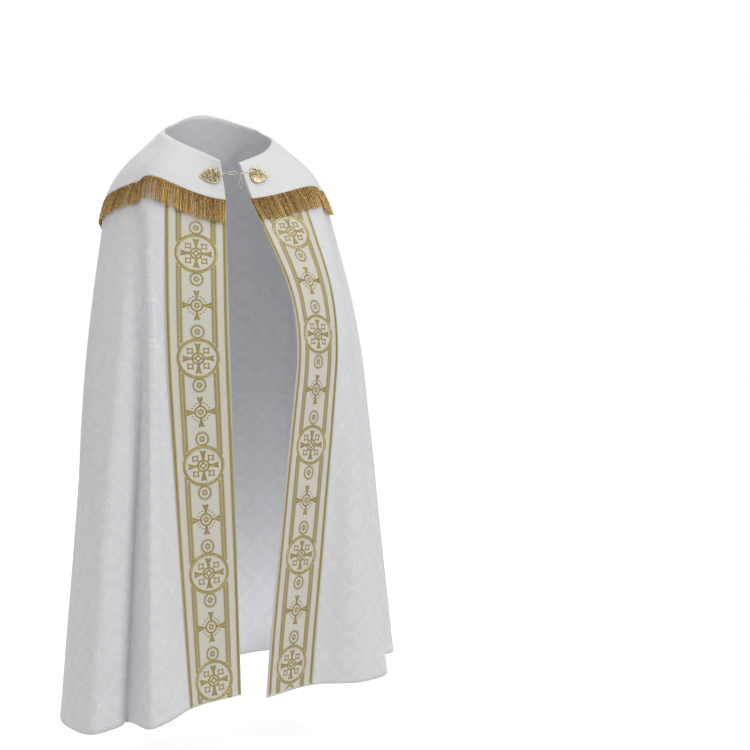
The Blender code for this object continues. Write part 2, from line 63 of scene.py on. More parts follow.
FLOOR_ROUGHNESS = 0.9
FLOOR_GLOW = 0.52  # as the camera sees it: it lights nothing
WHITE = (1.0, 1.0, 1.0, 1.0)


def add(name, data):
    """A new object in the scene."""
    piece = bpy.data.objects.new(name, data)
    bpy.context.scene.collection.objects.link(piece)
    return piece


def new_node(tree, kind, inputs=(), **settings):
    """A node with its settings and inputs. An input is a value, or a socket that is linked to it."""
    node = tree.nodes.new(kind)
    for setting, value in settings.items():
        setattr(node, setting, value)
    for socket, value in dict(inputs).items():
        if isinstance(value, bpy.types.NodeSocket):
            tree.links.new(value, node.inputs[socket])
        else:
            node.inputs[socket].default_value = value
    return node


camera = add("camera", bpy.data.cameras.new("camera"))
camera.data.lens = CAMERA_LENS
camera.data.sensor_width = CAMERA_SENSOR
camera.location = CAMERA_PLACE
camera.rotation_euler = (math.radians(90 + CAMERA_TILT), 0, -math.radians(CAMERA_TURN))
bpy.context.scene.camera = camera
bpy.context.scene.view_settings.view_transform = "Standard"

for name, place, target, size, power in LAMPS:
    light = bpy.data.lights.new(name, "AREA")
    light.shape, light.size, light.energy = "SQUARE", size, power
    lamp = add(name, light)
    lamp.location = place
    lamp.rotation_euler = (Vector(target) - Vector(place)).to_track_quat("-Z", "Y").to_euler()

world = bpy.data.worlds.new("studio")
world.use_nodes = True
tree = world.node_tree
ray = new_node(tree, "ShaderNodeLightPath").outputs["Is Camera Ray"]
strength = new_node(tree, "ShaderNodeMapRange", {"Value": ray, "To Min": SURROUND_LIGHT, "To Max": 1.0})
tree.links.new(strength.outputs[0], tree.nodes["Background"].inputs["Strength"])
tree.nodes["Background"].inputs["Color"].default_value = WHITE
bpy.context.scene.world = world

floor_mesh = bpy.data.meshes.new("floor")
corners = [(x * FLOOR_REACH, y * FLOOR_REACH, FLOOR_HEIGHT) for x, y in ((-1, -1), (1, -1), (1, 1), (-1, 1))]
floor_mesh.from_pydata(corners, [], [(0, 1, 2, 3)])
floor_paint = bpy.data.materials.new("pale_floor")
floor_paint.use_nodes = True
tree = floor_paint.node_tree
ray = new_node(tree, "ShaderNodeLightPath").outputs["Is Camera Ray"]
glow = new_node(tree, "ShaderNodeMath", {0: ray, 1: FLOOR_GLOW}, operation="MULTIPLY")
shader = tree.nodes["Principled BSDF"]
tree.links.new(glow.outputs[0], shader.inputs["Emission Strength"])
floor_values = {"Base Color": FLOOR_COLOUR, "Roughness": FLOOR_ROUGHNESS, "Emission Color": WHITE}
for socket, value in floor_values.items():
    shader.inputs[socket].default_value = value
floor_mesh.materials.append(floor_paint)
add("floor", floor_mesh)

# ---------------------------------------------------------------------------------------------
# Body
# One cut of white silk damask, unlined, with a turned hem. It hangs as columns that run from the
# neckline to the hem through four rings, with softer creases laid over them. A place on it is a
# share (0 at the right front edge, round the back, to 1 at the left front edge) and a distance down.
# ---------------------------------------------------------------------------------------------
HEM = (
    # name, x, y, z
    ("edge_right", -0.085, -0.266, -1.257),
    ("band_right", -0.222, -0.306, -1.262),
    ("front_right", -0.282, -0.346, -1.270),
    ("ridge_right", -0.331, -0.366, -1.275),
    ("crease_right", -0.360, -0.292, -1.276),
    ("roll_in", -0.398, -0.313, -1.280),
    ("roll_front", -0.444, -0.322, -1.283),
    ("roll_out", -0.474, -0.240, -1.284),
    ("roll_side", -0.462, -0.136, -1.284),
    ("roll_back", -0.408, -0.062, -1.286),
    ("valley_right", -0.322, -0.050, -1.288),
    ("turn_right", -0.292, 0.002, -1.290),
    ("panel_right", -0.328, 0.070, -1.294),
    ("back_1", -0.288, 0.152, -1.300),
    ("back_2", -0.212, 0.214, -1.306),
    ("back_3", -0.125, 0.242, -1.310),
    ("back_4", -0.058, 0.233, -1.312),
    ("centre", 0.000, 0.226, -1.312),
    ("back_5", 0.065, 0.239, -1.312),
    ("back_6", 0.135, 0.256, -1.310),
    ("back_7", 0.203, 0.244, -1.306),
    ("panel_left", 0.242, 0.192, -1.300),
    ("wall_left", 0.240, 0.116, -1.296),
    ("valley_left", 0.268, 0.050, -1.292),
    ("turn_left", 0.308, 0.086, -1.289),
    ("fold_1", 0.360, 0.116, -1.285),
    ("fold_2", 0.408, 0.082, -1.279),
    ("fold_3", 0.431, 0.012, -1.272),
    ("fold_4", 0.408, -0.052, -1.266),
    ("valley_arm", 0.349, -0.078, -1.266),
    ("turn_arm", 0.318, -0.114, -1.268),
    ("ridge_left", 0.325, -0.174, -1.270),
    ("front_left", 0.294, -0.230, -1.268),
    ("front_2", 0.214, -0.258, -1.267),
    ("band_left", 0.106, -0.238, -1.265),
    ("edge_left", -0.031, -0.296, -1.265),
)
# The other rings name the hem row whose column they are on
HAND = (
    ("edge_right", -0.084, -0.210, -0.450),
    ("band_right", -0.230, -0.190, -0.450),
    ("ridge_right", -0.258, -0.181, -0.450),
    ("crease_right", -0.266, -0.154, -0.450),
    ("roll_front", -0.318, -0.140, -0.450),
    ("roll_out", -0.340, -0.088, -0.450),
    ("roll_side", -0.345, -0.028, -0.450),
    ("roll_back", -0.336, 0.024, -0.450),
    ("turn_right", -0.296, 0.058, -0.450),
    ("panel_right", -0.270, 0.100, -0.450),
    ("back_2", -0.196, 0.168, -0.450),
    ("back_3", -0.120, 0.190, -0.450),
    ("centre", 0.000, 0.191, -0.450),
    ("back_6", 0.120, 0.195, -0.450),
    ("panel_left", 0.206, 0.166, -0.450),
    ("valley_left", 0.234, 0.122, -0.450),
    ("fold_1", 0.284, 0.118, -0.450),
    ("fold_3", 0.338, 0.030, -0.450),
    ("fold_4", 0.328, -0.024, -0.450),
    ("valley_arm", 0.296, -0.058, -0.450),
    ("ridge_left", 0.262, -0.110, -0.448),
    ("front_left", 0.246, -0.162, -0.440),
    ("front_2", 0.216, -0.208, -0.430),
    ("band_left", 0.182, -0.237, -0.415),
    ("edge_left", 0.056, -0.309, -0.412),
)
SHOULDER = (
    ("edge_right", -0.055, -0.122, -0.150),
    ("band_right", -0.188, -0.092, -0.107),
    ("roll_front", -0.240, -0.024, -0.109),
    ("roll_side", -0.258, 0.046, -0.112),
    ("roll_back", -0.258, 0.098, -0.114),
    ("panel_right", -0.224, 0.146, -0.114),
    ("back_2", -0.152, 0.168, -0.100),
    ("centre", 0.000, 0.172, -0.085),
    ("back_7", 0.152, 0.168, -0.100),
    ("valley_left", 0.222, 0.142, -0.114),
    ("fold_2", 0.254, 0.086, -0.114),
    ("fold_4", 0.254, 0.030, -0.112),
    ("ridge_left", 0.216, -0.036, -0.109),
    ("band_left", 0.138, -0.098, -0.118),
    ("edge_left", 0.005, -0.125, -0.150),
)
NECK = (
    ("edge_right", -0.058, -0.100, -0.062),
    ("band_right", -0.104, -0.038, -0.033),
    ("roll_out", -0.130, 0.030, -0.006),
    ("roll_back", -0.128, 0.072, 0.006),
    ("back_1", -0.095, 0.106, 0.026),
    ("centre", 0.000, 0.126, 0.052),
    ("back_7", 0.090, 0.108, 0.027),
    ("fold_1", 0.122, 0.076, 0.006),
    ("fold_4", 0.122, 0.032, -0.006),
    ("front_left", 0.098, -0.020, -0.024),
    ("band_left", 0.056, -0.062, -0.046),
    ("edge_left", -0.018, -0.105, -0.068),
)
SHOULDER_BEND = 0.085
HAND_BEND = 0.140
BEND_SHARE = 0.45  # of the shorter leg at most
BEND_STEPS = 13

# Soft creases. Each follows a hem row's column, some way beside it, between two distances down.
CREASES = (
    # column, beside, top, bottom, lean, depth, width
    ("front_right", 0.010, 0.30, 1.50, 0.015, 0.0030, 0.016),
    ("front_right", -0.030, 0.22, 0.95, -0.010, -0.0020, 0.014),
    ("ridge_right", 0.000, 0.20, 1.50, 0.000, 0.0030, 0.008),
    ("crease_right", 0.000, 0.34, 1.70, 0.000, -0.0130, 0.0050),
    ("crease_right", 0.024, 0.45, 1.60, 0.000, 0.0050, 0.013),
    ("edge_left", 0.000, 0.20, 1.45, 0.000, -0.0095, 0.045),
    ("roll_front", 0.012, 0.22, 0.80, 0.020, -0.0035, 0.018),
    ("roll_out", 0.020, 0.25, 1.10, -0.015, 0.0035, 0.022),
    ("roll_out", 0.065, 0.40, 1.50, 0.020, -0.0040, 0.020),
    ("roll_side", 0.030, 0.24, 0.90, 0.015, 0.0035, 0.018),
    ("roll_back", 0.020, 0.55, 1.50, -0.010, -0.0040, 0.020),
    ("valley_right", 0.020, 0.30, 1.20, 0.000, -0.0050, 0.016),
    ("panel_right", 0.000, 0.36, 1.50, 0.000, 0.0030, 0.009),
    ("back_1", 0.020, 0.45, 1.50, 0.020, -0.0045, 0.030),
    ("back_2", 0.040, 0.60, 1.50, -0.020, 0.0040, 0.028),
    ("back_4", -0.010, 0.45, 1.20, 0.010, -0.0035, 0.024),
    ("centre", 0.000, 0.36, 1.50, -0.006, -0.0012, 0.0030),
    ("centre", 0.018, 0.36, 1.50, 0.010, 0.0022, 0.014),
    ("back_5", 0.050, 0.50, 1.50, 0.020, -0.0045, 0.026),
    ("back_7", -0.010, 0.42, 1.10, -0.015, 0.0040, 0.024),
    ("panel_left", 0.000, 0.34, 1.50, 0.000, 0.0025, 0.010),
    ("valley_left", 0.010, 0.26, 1.30, 0.000, -0.0050, 0.018),
    ("fold_1", 0.020, 0.28, 0.95, 0.010, -0.0030, 0.016),
    ("fold_2", 0.000, 0.20, 1.10, 0.030, 0.0026, 0.0045),
    ("fold_2", 0.045, 0.35, 1.50, -0.010, -0.0040, 0.018),
    ("fold_3", 0.030, 0.24, 1.00, 0.015, 0.0035, 0.018),
    ("valley_arm", -0.010, 0.22, 1.10, 0.000, -0.0035, 0.016),
    ("ridge_left", 0.000, 0.16, 1.50, 0.000, 0.0034, 0.0060),
    ("front_left", 0.020, 0.30, 1.10, 0.015, -0.0030, 0.020),
    ("front_2", 0.010, 0.55, 1.50, -0.020, 0.0035, 0.026),
)
CREASE_FADES = 0.35, 0.25  # of its length, at its top and bottom
# Creases pressed across the columns
CROSS_CREASES = (
    # from, to, distance, depth, width
    ("panel_right", "centre", 1.188, -0.0014, 0.0035),
    ("panel_right", "centre", 1.200, 0.0012, 0.0050),
    ("back_5", "panel_left", 1.180, -0.0006, 0.0050),
)
CROSS_FADE = 0.15  # of its length, at both ends
GIRTH = 1.34, 1.00  # of the cloth round the shoulders, and how much more for each metre down
UNEVEN = 0.0011
UNEVEN_FROM = 0.4  # metres down, where the cloth's unevenness is full
UNEVEN_WAVES = (
    # pace round and down, pace down, round and start of what crosses it, part
    (31, 5, 4.3, 17, 0, 1.0),
    (83, -9, 11, 0, 1.7, 0.5),
)

BODY_WALL = 0.0015
COLUMN_PITCH = 0.0092
BODY_ROWS = 118
FINE_COLUMNS = ("centre", "fold_2", "ridge_left", "ridge_right", "panel_right")
FINE_REACH = 0.010
FINE_PITCH = 0.0025
HEM_TURN = 0.026
HEM_TURN_LIFT = 0.0004
HEM_TURN_STEP = 0.004
THREAD_PITCH = 0.0006
DAMASK_REPEAT = 0.114, 0.107
DAMASK_RINGS = (
    # how far its middle is from the quatrefoil's, radius, half its line
    (0.0165, 0.0128, 0.0011), (0.0165, 0.0058, 0.0028), (0.0240, 0.0300, 0.0017),
    (0.0240, 0.0250, 0.0009), (0.0535, 0.0030, 0.0018), (0.0, 0.0030, 0.0014),
)
FLOWER_PETALS = 8
FLOWER_EDGE = 0.0085
FLOWER_WAVE = 0.0038
FLOWER_LINE = 0.0010
FLOWER_DOTS = 0.0165, 0.0012  # how far out, and half their size
FLOWER_EYE = 0.0026
SEED_PITCH = 0.00475, 0.00446
SEED = 0.0019
SEED_CLEAR = 0.0240, 0.0345  # seeds stand outside circles about these middles, of this radius
DAMASK_GROUND = (0.775, 0.780, 0.808), (0.815, 0.818, 0.840)
DAMASK_SHINE = (0.855, 0.857, 0.871)
DAMASK_DEPTH = 0.00025


def spline(known, values, wanted):
    """A smooth curve through values at the known shares, read at the wanted shares."""
    known, values = np.asarray(known, float), np.asarray(values, float)
    step = np.diff(known)[:, None]
    slope = np.diff(values, axis=0) / step
    inner = (slope[:-1] * step[1:] + slope[1:] * step[:-1]) / (step[:-1] + step[1:])
    tangent = np.vstack((slope[:1], inner, slope[-1:]))
    at = np.clip(np.searchsorted(known, wanted, side="right") - 1, 0, len(step) - 1)
    h = step[at]
    t = (np.asarray(wanted, float)[:, None] - known[at][:, None]) / h
    return (
        (2 * t**3 - 3 * t**2 + 1) * values[at]
        + (t**3 - 2 * t**2 + t) * h * tangent[at]
        + (3 * t**2 - 2 * t**3) * values[at + 1]
        + (t**3 - t**2) * h * tangent[at + 1]
    )


hem_points = np.array([row[1:] for row in HEM])
hem_run = np.r_[0, np.cumsum(np.linalg.norm(np.diff(hem_points, axis=0), axis=1))]
HEM_LENGTH = hem_run[-1]
SHARE = {row[0]: run / HEM_LENGTH for row, run in zip(HEM, hem_run)}


def columns(shares):
    """The cloth's columns at some shares, each as a line from neckline to hem."""
    rings = [
        spline([SHARE[row[0]] for row in table], [row[1:] for row in table], shares)
        for table in (NECK, SHOULDER, HAND, HEM)
    ]
    lines = []
    for corners in zip(*rings):
        line = [corners[0]]
        bends = SHOULDER_BEND, HAND_BEND
        for before, corner, after, bend in zip(corners, corners[1:], corners[2:], bends):
            back, ahead = before - corner, after - corner
            legs = np.linalg.norm(back), np.linalg.norm(ahead)
            reach = min(bend, BEND_SHARE * min(legs))
            start, end = corner + back / legs[0] * reach, corner + ahead / legs[1] * reach
            t = np.linspace(0, 1, BEND_STEPS)[:, None]
            line.extend((1 - t) ** 2 * start + 2 * t * (1 - t) * corner + t**2 * end)
        lines.append(np.array(line + [corners[-1]]))
    return lines


def length_of(line):
    """The length of a column."""
    return np.linalg.norm(np.diff(line, axis=0), axis=1).sum()


def down(line, distances):
    """Points at some distances from the top of a column, run on straight past its ends."""
    length = np.r_[0, np.cumsum(np.linalg.norm(np.diff(line, axis=0), axis=1))]
    distances = np.asarray(distances, float)
    points = np.array([np.interp(distances, length, line[:, k]) for k in range(3)]).T
    above, below = np.clip(-distances, 0, None), np.clip(distances - length[-1], 0, None)
    top = (line[0] - line[1]) / (length[1] - length[0])
    foot = (line[-1] - line[-2]) / (length[-1] - length[-2])
    return points + above[:, None] * top + below[:, None] * foot


def ease(t):
    """A soft step from 0 to 1."""
    t = np.clip(t, 0, 1)
    return t * t * (3 - 2 * t)


def folded(folds, shares, distances, girth, fades):
    """How far some folds lift the cloth. Girth is its metres across, and more for each metre down."""
    lift = np.zeros_like(distances)
    for column, beside, top, bottom, lean, height, width in folds:
        t = (distances - top) / (bottom - top)
        away = (shares[:, None] - SHARE[column] - beside / HEM_LENGTH) * (girth[0] + girth[1] * distances)
        away -= lean * (t - 0.5)
        lift += height * np.exp(-0.5 * (away / width) ** 2) * ease(t / fades[0]) * ease((1 - t) / fades[1])
    return lift


def creased(shares, distances):
    """How far all the creases lift the cloth, on a grid."""
    lift = folded(CREASES, shares, distances, GIRTH, CREASE_FADES)
    shares = shares[:, None]
    for first, last, distance, depth, width in CROSS_CREASES:
        along = (shares - SHARE[first]) / (SHARE[last] - SHARE[first])
        fade = ease(along / CROSS_FADE) * ease((1 - along) / CROSS_FADE)
        lift += depth * np.exp(-0.5 * ((distances - distance) / width) ** 2) * fade
    uneven = 0
    for pace_round, pace_down, down_too, round_too, start, part in UNEVEN_WAVES:
        wave = np.sin(pace_round * shares + pace_down * distances)
        uneven = uneven + part * wave * np.sin(down_too * distances + round_too * shares + start)
    return lift + UNEVEN * uneven * ease(distances / UNEVEN_FROM)


def outward(grid):
    """The directions out of a grid that runs round the cloth and then down it."""
    normal = np.cross(np.gradient(grid, axis=0), np.gradient(grid, axis=1))
    return normal / np.linalg.norm(normal, axis=2)[..., None]


def hang(shares, distances):
    """The cloth's middle surface and the directions out of it. One row of distances a share."""
    shares, distances = np.asarray(shares, float), np.asarray(distances, float)
    smooth = np.array([down(line, row) for line, row in zip(columns(shares), distances)])
    grid = smooth + outward(smooth) * creased(shares, distances)[..., None]
    return grid, outward(grid)


def new_piece(name, mesh, paint):
    """An object of a mesh with one material, shaded smooth."""
    mesh.materials.append(paint)
    mesh.shade_smooth()
    return add(name, mesh)


def new_mesh(name, points, faces, spots):
    """A mesh with its faces' corners placed in a flat cut."""
    mesh = bpy.data.meshes.new(name)
    mesh.from_pydata(np.vstack(points).tolist(), [], np.vstack(faces).tolist())
    mesh.uv_layers.new(name="UVMap").data.foreach_set("uv", np.vstack(spots).ravel())
    return mesh


def quads(order):
    """The four-sided faces of a grid."""
    return np.stack((order[:-1, :-1], order[1:, :-1], order[1:, 1:], order[:-1, 1:]), -1).reshape(-1, 4)


def wall(name, outer, inner, left, right, paint):
    """A closed wall between two grids. Left and right are each strip's places in the flat cut."""
    order = np.arange(outer[..., 0].size).reshape(outer.shape[:2])
    other_way = (0, 3, 2, 1)
    faces = [quads(order), quads(order)[:, other_way] + order.size]
    places = np.stack((left[:, :-1], right[:, :-1], right[:, 1:], left[:, 1:]), 2).reshape(-1, 4, 2)
    spots = [places.reshape(-1, 2), places[:, other_way].reshape(-1, 2)]
    rims = (
        (order[1:, 0], order[:-1, 0], right[:, 0], left[:, 0]),
        (order[:-1, -1], order[1:, -1], left[:, -1], right[:, -1]),
        (order[0, :-1], order[0, 1:], left[0, :-1], left[0, 1:]),
        (order[-1, 1:], order[-1, :-1], right[-1, 1:], right[-1, :-1]),
    )
    for first, second, at_first, at_second in rims:
        faces.append(np.stack((first, second, second + order.size, first + order.size), -1))
        spots.append(np.stack((at_first, at_second, at_second, at_first), 1).reshape(-1, 2))
    return new_piece(name, new_mesh(name, (outer.reshape(-1, 3), inner.reshape(-1, 3)), faces, spots), paint)


def beyond(p, q, from_p, from_q, turn):
    """The point at two distances from two others in a plane, on one side of the line between them."""
    gap = abs(q - p)
    along = (from_p**2 - from_q**2 + gap**2) / (2 * gap)
    return p + (q - p) / gap * (along + turn * math.sqrt(max(from_p**2 - along**2, 0)))


def laid_flat(near, far, side):
    """The strip between two columns laid flat: the places of both, as complex numbers."""
    steps = [np.linalg.norm(np.diff(line, axis=0), axis=1) for line in (near, far)]
    rungs, slants = np.linalg.norm(far - near, axis=1), np.linalg.norm(near[1:] - far[:-1], axis=1)
    p, q = 0j, complex(side * rungs[0])
    flat = [(p, q)]
    for near_step, far_step, slant, rung in zip(*steps, slants, rungs[1:]):
        p = beyond(p, q, near_step, slant, -1j * side)
        q = beyond(p, q, rung, far_step, -1j * side)
        flat.append((p, q))
    return np.array(flat).T


def flat_cut(grid, start, stop, side):
    """Each strip's two sides in the flat cut, from an upright first column on. Left sides come first."""
    step = np.linalg.norm(np.diff(grid[start], axis=0), axis=1)
    known = -1j * np.r_[0, np.cumsum(step)]
    strips = []
    for k in range(start, stop, side):
        near, far = laid_flat(grid[k], grid[k + side], side)
        to_near, to_known = near - near.mean(), known - known.mean()
        turn = (to_known * to_near.conj()).sum()
        turn /= abs(turn)
        near, known = (known.mean() + turn * (line - near.mean()) for line in (near, far))
        strips.append((near, known)[::side])
    places = np.array(strips[::side])
    return np.stack((places.real, places.imag), -1)


shares = []
for start, end in zip(hem_run, hem_run[1:]):
    pitch = (end - start) / round((end - start) / COLUMN_PITCH)
    shares.extend(np.arange(start, end - COLUMN_PITCH / 2, pitch))
for name in FINE_COLUMNS:
    shares.extend(SHARE[name] * HEM_LENGTH + np.arange(-FINE_REACH, FINE_REACH, FINE_PITCH))
body_shares = np.unique(np.round(np.r_[shares, HEM_LENGTH] / HEM_LENGTH, 5))
body_lines = columns(body_shares)
rows = np.linspace(0, 1, BODY_ROWS)
body_down = np.array([rows * length_of(line) for line in body_lines])
middle, out = hang(body_shares, body_down)
to_hem = body_down[:, -1:] - body_down
turn_lift = HEM_TURN_LIFT * ease((HEM_TURN - to_hem) / HEM_TURN_STEP)[..., None]
outer = middle + out * (BODY_WALL / 2 + turn_lift)
inner = middle - out * (BODY_WALL / 2)
# The grain runs with each front edge and with the middle of the back, and turns in the side folds
smooth = np.array([down(line, row) for line, row in zip(body_lines, body_down)])
right_turn, back, left_turn, last = (
    np.abs(body_shares - share).argmin()
    for share in (SHARE["valley_right"], SHARE["centre"], SHARE["valley_left"], 1)
)
stretches = ((0, right_turn, 1), (back, right_turn, -1), (back, left_turn, 1), (last, left_turn, -1))
sides = np.vstack([flat_cut(smooth, *stretch) for stretch in stretches])


def calc(tree, operation, *values):
    """A math node on sockets or numbers."""
    return new_node(tree, "ShaderNodeMath", enumerate(values), operation=operation).outputs[0]


def new_group(name, inputs, outputs):
    """A shader node group with named number sockets and a Place vector."""
    tree = bpy.data.node_groups.new(name, "ShaderNodeTree")
    tree.interface.new_socket("Place", in_out="INPUT", socket_type="NodeSocketVector")
    for label, value in inputs:
        socket = tree.interface.new_socket(label, in_out="INPUT", socket_type="NodeSocketFloat")
        socket.default_value = value
    for label in outputs:
        tree.interface.new_socket(label, in_out="OUTPUT", socket_type="NodeSocketFloat")
    given, result = new_node(tree, "NodeGroupInput").outputs, new_node(tree, "NodeGroupOutput").inputs
    split = new_node(tree, "ShaderNodeSeparateXYZ", {0: given["Place"]}).outputs
    return tree, given, result, split[0], split[1]


def radius(tree, x, y):
    """The distance of a point from zero."""
    return calc(tree, "SQRT", calc(tree, "ADD", calc(tree, "MULTIPLY", x, x), calc(tree, "MULTIPLY", y, y)))


def highest(tree, values):
    """The largest of some values."""
    top = values[0]
    for value in values[1:]:
        top = calc(tree, "MAXIMUM", top, value)
    return top


def make_damask_figure():
    """The damask's repeat: framed quatrefoils in a square net, with a small flower between them."""
    inputs = zip(("Width", "Height"), DAMASK_REPEAT)
    tree, given, result, u, v = new_group("damask_figure", inputs, ("Figure",))
    half_width, half_height = (calc(tree, "MULTIPLY", given[label], 0.5) for label in ("Width", "Height"))
    x, y = calc(tree, "PINGPONG", u, half_width), calc(tree, "PINGPONG", v, half_height)
    long, short = calc(tree, "MAXIMUM", x, y), calc(tree, "MINIMUM", x, y)

    def away_from(middle):
        return radius(tree, calc(tree, "SUBTRACT", long, middle), short)

    lines = [calc(tree, "COMPARE", away_from(middle), size, half) for middle, size, half in DAMASK_RINGS]
    x, y = calc(tree, "SUBTRACT", half_width, x), calc(tree, "SUBTRACT", half_height, y)
    reach, turn = radius(tree, x, y), calc(tree, "ARCTAN2", y, x)
    petal = calc(tree, "COSINE", calc(tree, "MULTIPLY", turn, FLOWER_PETALS))
    edge = calc(tree, "MULTIPLY_ADD", petal, FLOWER_WAVE, FLOWER_EDGE)
    lines.append(calc(tree, "COMPARE", reach, edge, FLOWER_LINE))
    dots, between_petals = calc(tree, "COMPARE", reach, *FLOWER_DOTS), calc(tree, "LESS_THAN", petal, -0.5)
    lines += [calc(tree, "MULTIPLY", dots, between_petals), calc(tree, "LESS_THAN", reach, FLOWER_EYE)]
    seed = radius(tree, *(calc(tree, "PINGPONG", *pair) for pair in zip((u, v), SEED_PITCH)))
    outside = calc(tree, "GREATER_THAN", away_from(SEED_CLEAR[0]), SEED_CLEAR[1])
    lines.append(calc(tree, "MULTIPLY", calc(tree, "LESS_THAN", seed, SEED), outside))
    tree.links.new(highest(tree, lines), result["Figure"])
    return tree


def make_weave():
    """Crossing threads, as a height from 0 to 1."""
    inputs = (("Across", THREAD_PITCH), ("Along", THREAD_PITCH))
    tree, given, result, u, v = new_group("weave", inputs, ("Height",))
    waves = []
    for place, label in ((u, "Across"), (v, "Along")):
        turns = calc(tree, "MULTIPLY", calc(tree, "DIVIDE", place, given[label]), 2 * math.pi)
        waves.append(calc(tree, "SINE", turns))
    tree.links.new(calc(tree, "MULTIPLY_ADD", calc(tree, "MULTIPLY", *waves), 0.5, 0.5), result["Height"])
    return tree


DAMASK_FIGURE = make_damask_figure()
WEAVE = make_weave()


def new_paint(name, roughness, metallic=0.0, sheen=0.0):
    """A material, its tree, its shader's inputs and the places that its patterns read."""
    paint = bpy.data.materials.new(name)
    paint.use_nodes = True
    tree = paint.node_tree
    shader = tree.nodes["Principled BSDF"].inputs
    for socket, value in (("Roughness", roughness), ("Metallic", metallic), ("Sheen Weight", sheen)):
        shader[socket].default_value = value
    return paint, tree, shader, new_node(tree, "ShaderNodeTexCoord").outputs


def use_group(tree, group, place, **values):
    """A group in a material, with its own values."""
    return new_node(tree, "ShaderNodeGroup", {"Place": place, **values}, node_tree=group).outputs[0]


def noise(tree, place, scale, detail=2.0):
    """Soft unevenness from 0 to 1."""
    inputs = {"Vector": place, "Scale": scale, "Detail": detail}
    return new_node(tree, "ShaderNodeTexNoise", inputs).outputs["Fac"]


def blend_colour(tree, factor, first, second):
    """A colour between two others, each a socket or three numbers."""
    first, second = (c if isinstance(c, bpy.types.NodeSocket) else (*c, 1.0) for c in (first, second))
    inputs = {"Factor": factor, 6: first, 7: second}
    return new_node(tree, "ShaderNodeMix", inputs, data_type="RGBA").outputs[2]


def raise_surface(tree, shader, height, depth, strength=1.0):
    """A bump of some real depth."""
    bump = new_node(tree, "ShaderNodeBump", {"Strength": strength, "Distance": depth, "Height": height})
    tree.links.new(bump.outputs["Normal"], shader["Normal"])


def paint_damask():
    """White silk damask: a satin figure that shines on a duller ground."""
    paint, tree, shader, place = new_paint("white_damask", 0.5, sheen=0.15)
    figure = use_group(tree, DAMASK_FIGURE, place["UV"])
    threads = use_group(tree, WEAVE, place["UV"], Across=0.0007, Along=0.0009)
    ground = blend_colour(tree, noise(tree, place["Object"], 9.0), *DAMASK_GROUND)
    tree.links.new(blend_colour(tree, figure, ground, DAMASK_SHINE), shader["Base Color"])
    tree.links.new(calc(tree, "MULTIPLY_ADD", figure, -0.20, 0.50), shader["Roughness"])
    height = calc(tree, "MULTIPLY_ADD", figure, 0.7, calc(tree, "MULTIPLY", threads, 0.3))
    raise_surface(tree, shader, height, DAMASK_DEPTH, 0.7)
    return paint


damask = paint_damask()
body = wall("cope_body", outer, inner, sides[:, 0], sides[:, 1], damask)
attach(body, "cope")
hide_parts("body")

# ---------------------------------------------------------------------------------------------
# Orphreys
# Two bands of cream satin, sewn on along the front edges from under the hood to the hem. Each is
# worked in gold thread: a cable down both edges, leaf braids inside it, and between the braids
# crosses in roped rings, small crosses and rosettes.
# ---------------------------------------------------------------------------------------------
BAND_WALL = 0.0012
SEAM_GAP = 0.0003
BAND_TOP = 0.085  # where the bands begin, under the hood
BAND_EDGE_ROLL = 0.0004
BANDS = (
    # name, from, to, first ring's distance down, repeat
    ("orphrey_right", "edge_right", "band_right", 0.2500, 0.2380),
    ("orphrey_left", "band_left", "edge_left", 0.2028, 0.2516),
)
RING_COUNT = 5
BAND_CUT = (0.148, 1.20)
BAND_COLUMNS = 25
BAND_ROWS = 170
BAND_SHORT = 0.0008  # of the hem
BAND_ROLL_FROM = 0.9  # of its half width
SATIN = (0.69, 0.665, 0.585), (0.76, 0.735, 0.655)
WORK_TOP = 0.006  # below the band's top
WORK_SHORT = 0.003  # of the hem
BRAID_AT = 0.0398  # from the band's middle
BRAID_SPREAD = 0.0036
BRAID_TURN = 48  # degrees
BRAID_GAP = 0.004  # from the rings
CABLE_AT = 0.0655
CABLE_TURNS = 136, 44  # degrees, at a band's two edges
CABLE_TIE = 0.0011, 0.0004  # half its width, and its height
CABLE_TIE_FROM = 0.01  # below the band's top
CABLE_TIE_STEP = 0.02
LEAF_PITCH = 0.0060
CABLE_PITCH = 0.0053
RING_RADIUS = 0.0420  # down the band
RING_OVAL = 1.085  # as much wider
RING_HALF_WIDTH = 0.0041
ROPE_TURNS = 40
ROPE_SLANT = 32  # degrees
LINE_HALF_WIDTH = 0.0022
# An arm's start and end, half its width at both, and how far its scallops dip
CROSS_ARM = 0.0132, 0.0335, 0.0026, 0.0080, 0.0012
SMALL_ARM = 0.0142, 0.0335, 0.0027, 0.0084, 0.0010
ARM_FLUTES = 2, 1  # how many flutes, and how many scallops
ARM_BEND = 1.6
CROSS_RING = 0.0119
SMALL_RING = 0.0128
# A star's tips and valleys, outside and inside
CROSS_STAR = 0.0104, 0.0066, 0.0042, 0.0028
CORNER_STAR = 0.0104, 0.0060, 0.0050, 0.0030
CORNER_AT = 0.0240
ROSETTE_RING = 0.0134, 0.0016
# count, start, end and width of the petals
CROSS_PETALS = 8, 0.0020, 0.0084, 0.0040
ROSETTE_PETALS = 8, 0.0020, 0.0082, 0.0040
ROSETTE_BEADS = 0.0163, 26, 1.15  # how far out, count and size
CROSS_BEADS = 0.0212, (24, 45, 66), 1.9  # how far out, turns in each quarter and size
STITCH_HEIGHT = 0.0007
STITCH_SINK = 0.0001
NET_STEP = 0.006
NET_FOOT = 1.30
NET_MARGIN = 0.10
NET_ROW = -10  # the row near the hem where a band's width is read
# length, width, height and fullness of the units that are set many times
LEAVES = {
    "braid_leaf": (0.0094, 0.0052, 0.0013, 0.7),
    "cable_leaf": (0.0110, 0.0050, 0.0013, 0.7),
    "rope_strand": (0.0108, 0.0046, 0.0022, 0.7),
    "bead": (0.0022, 0.0022, 0.0008, 0.5),
}


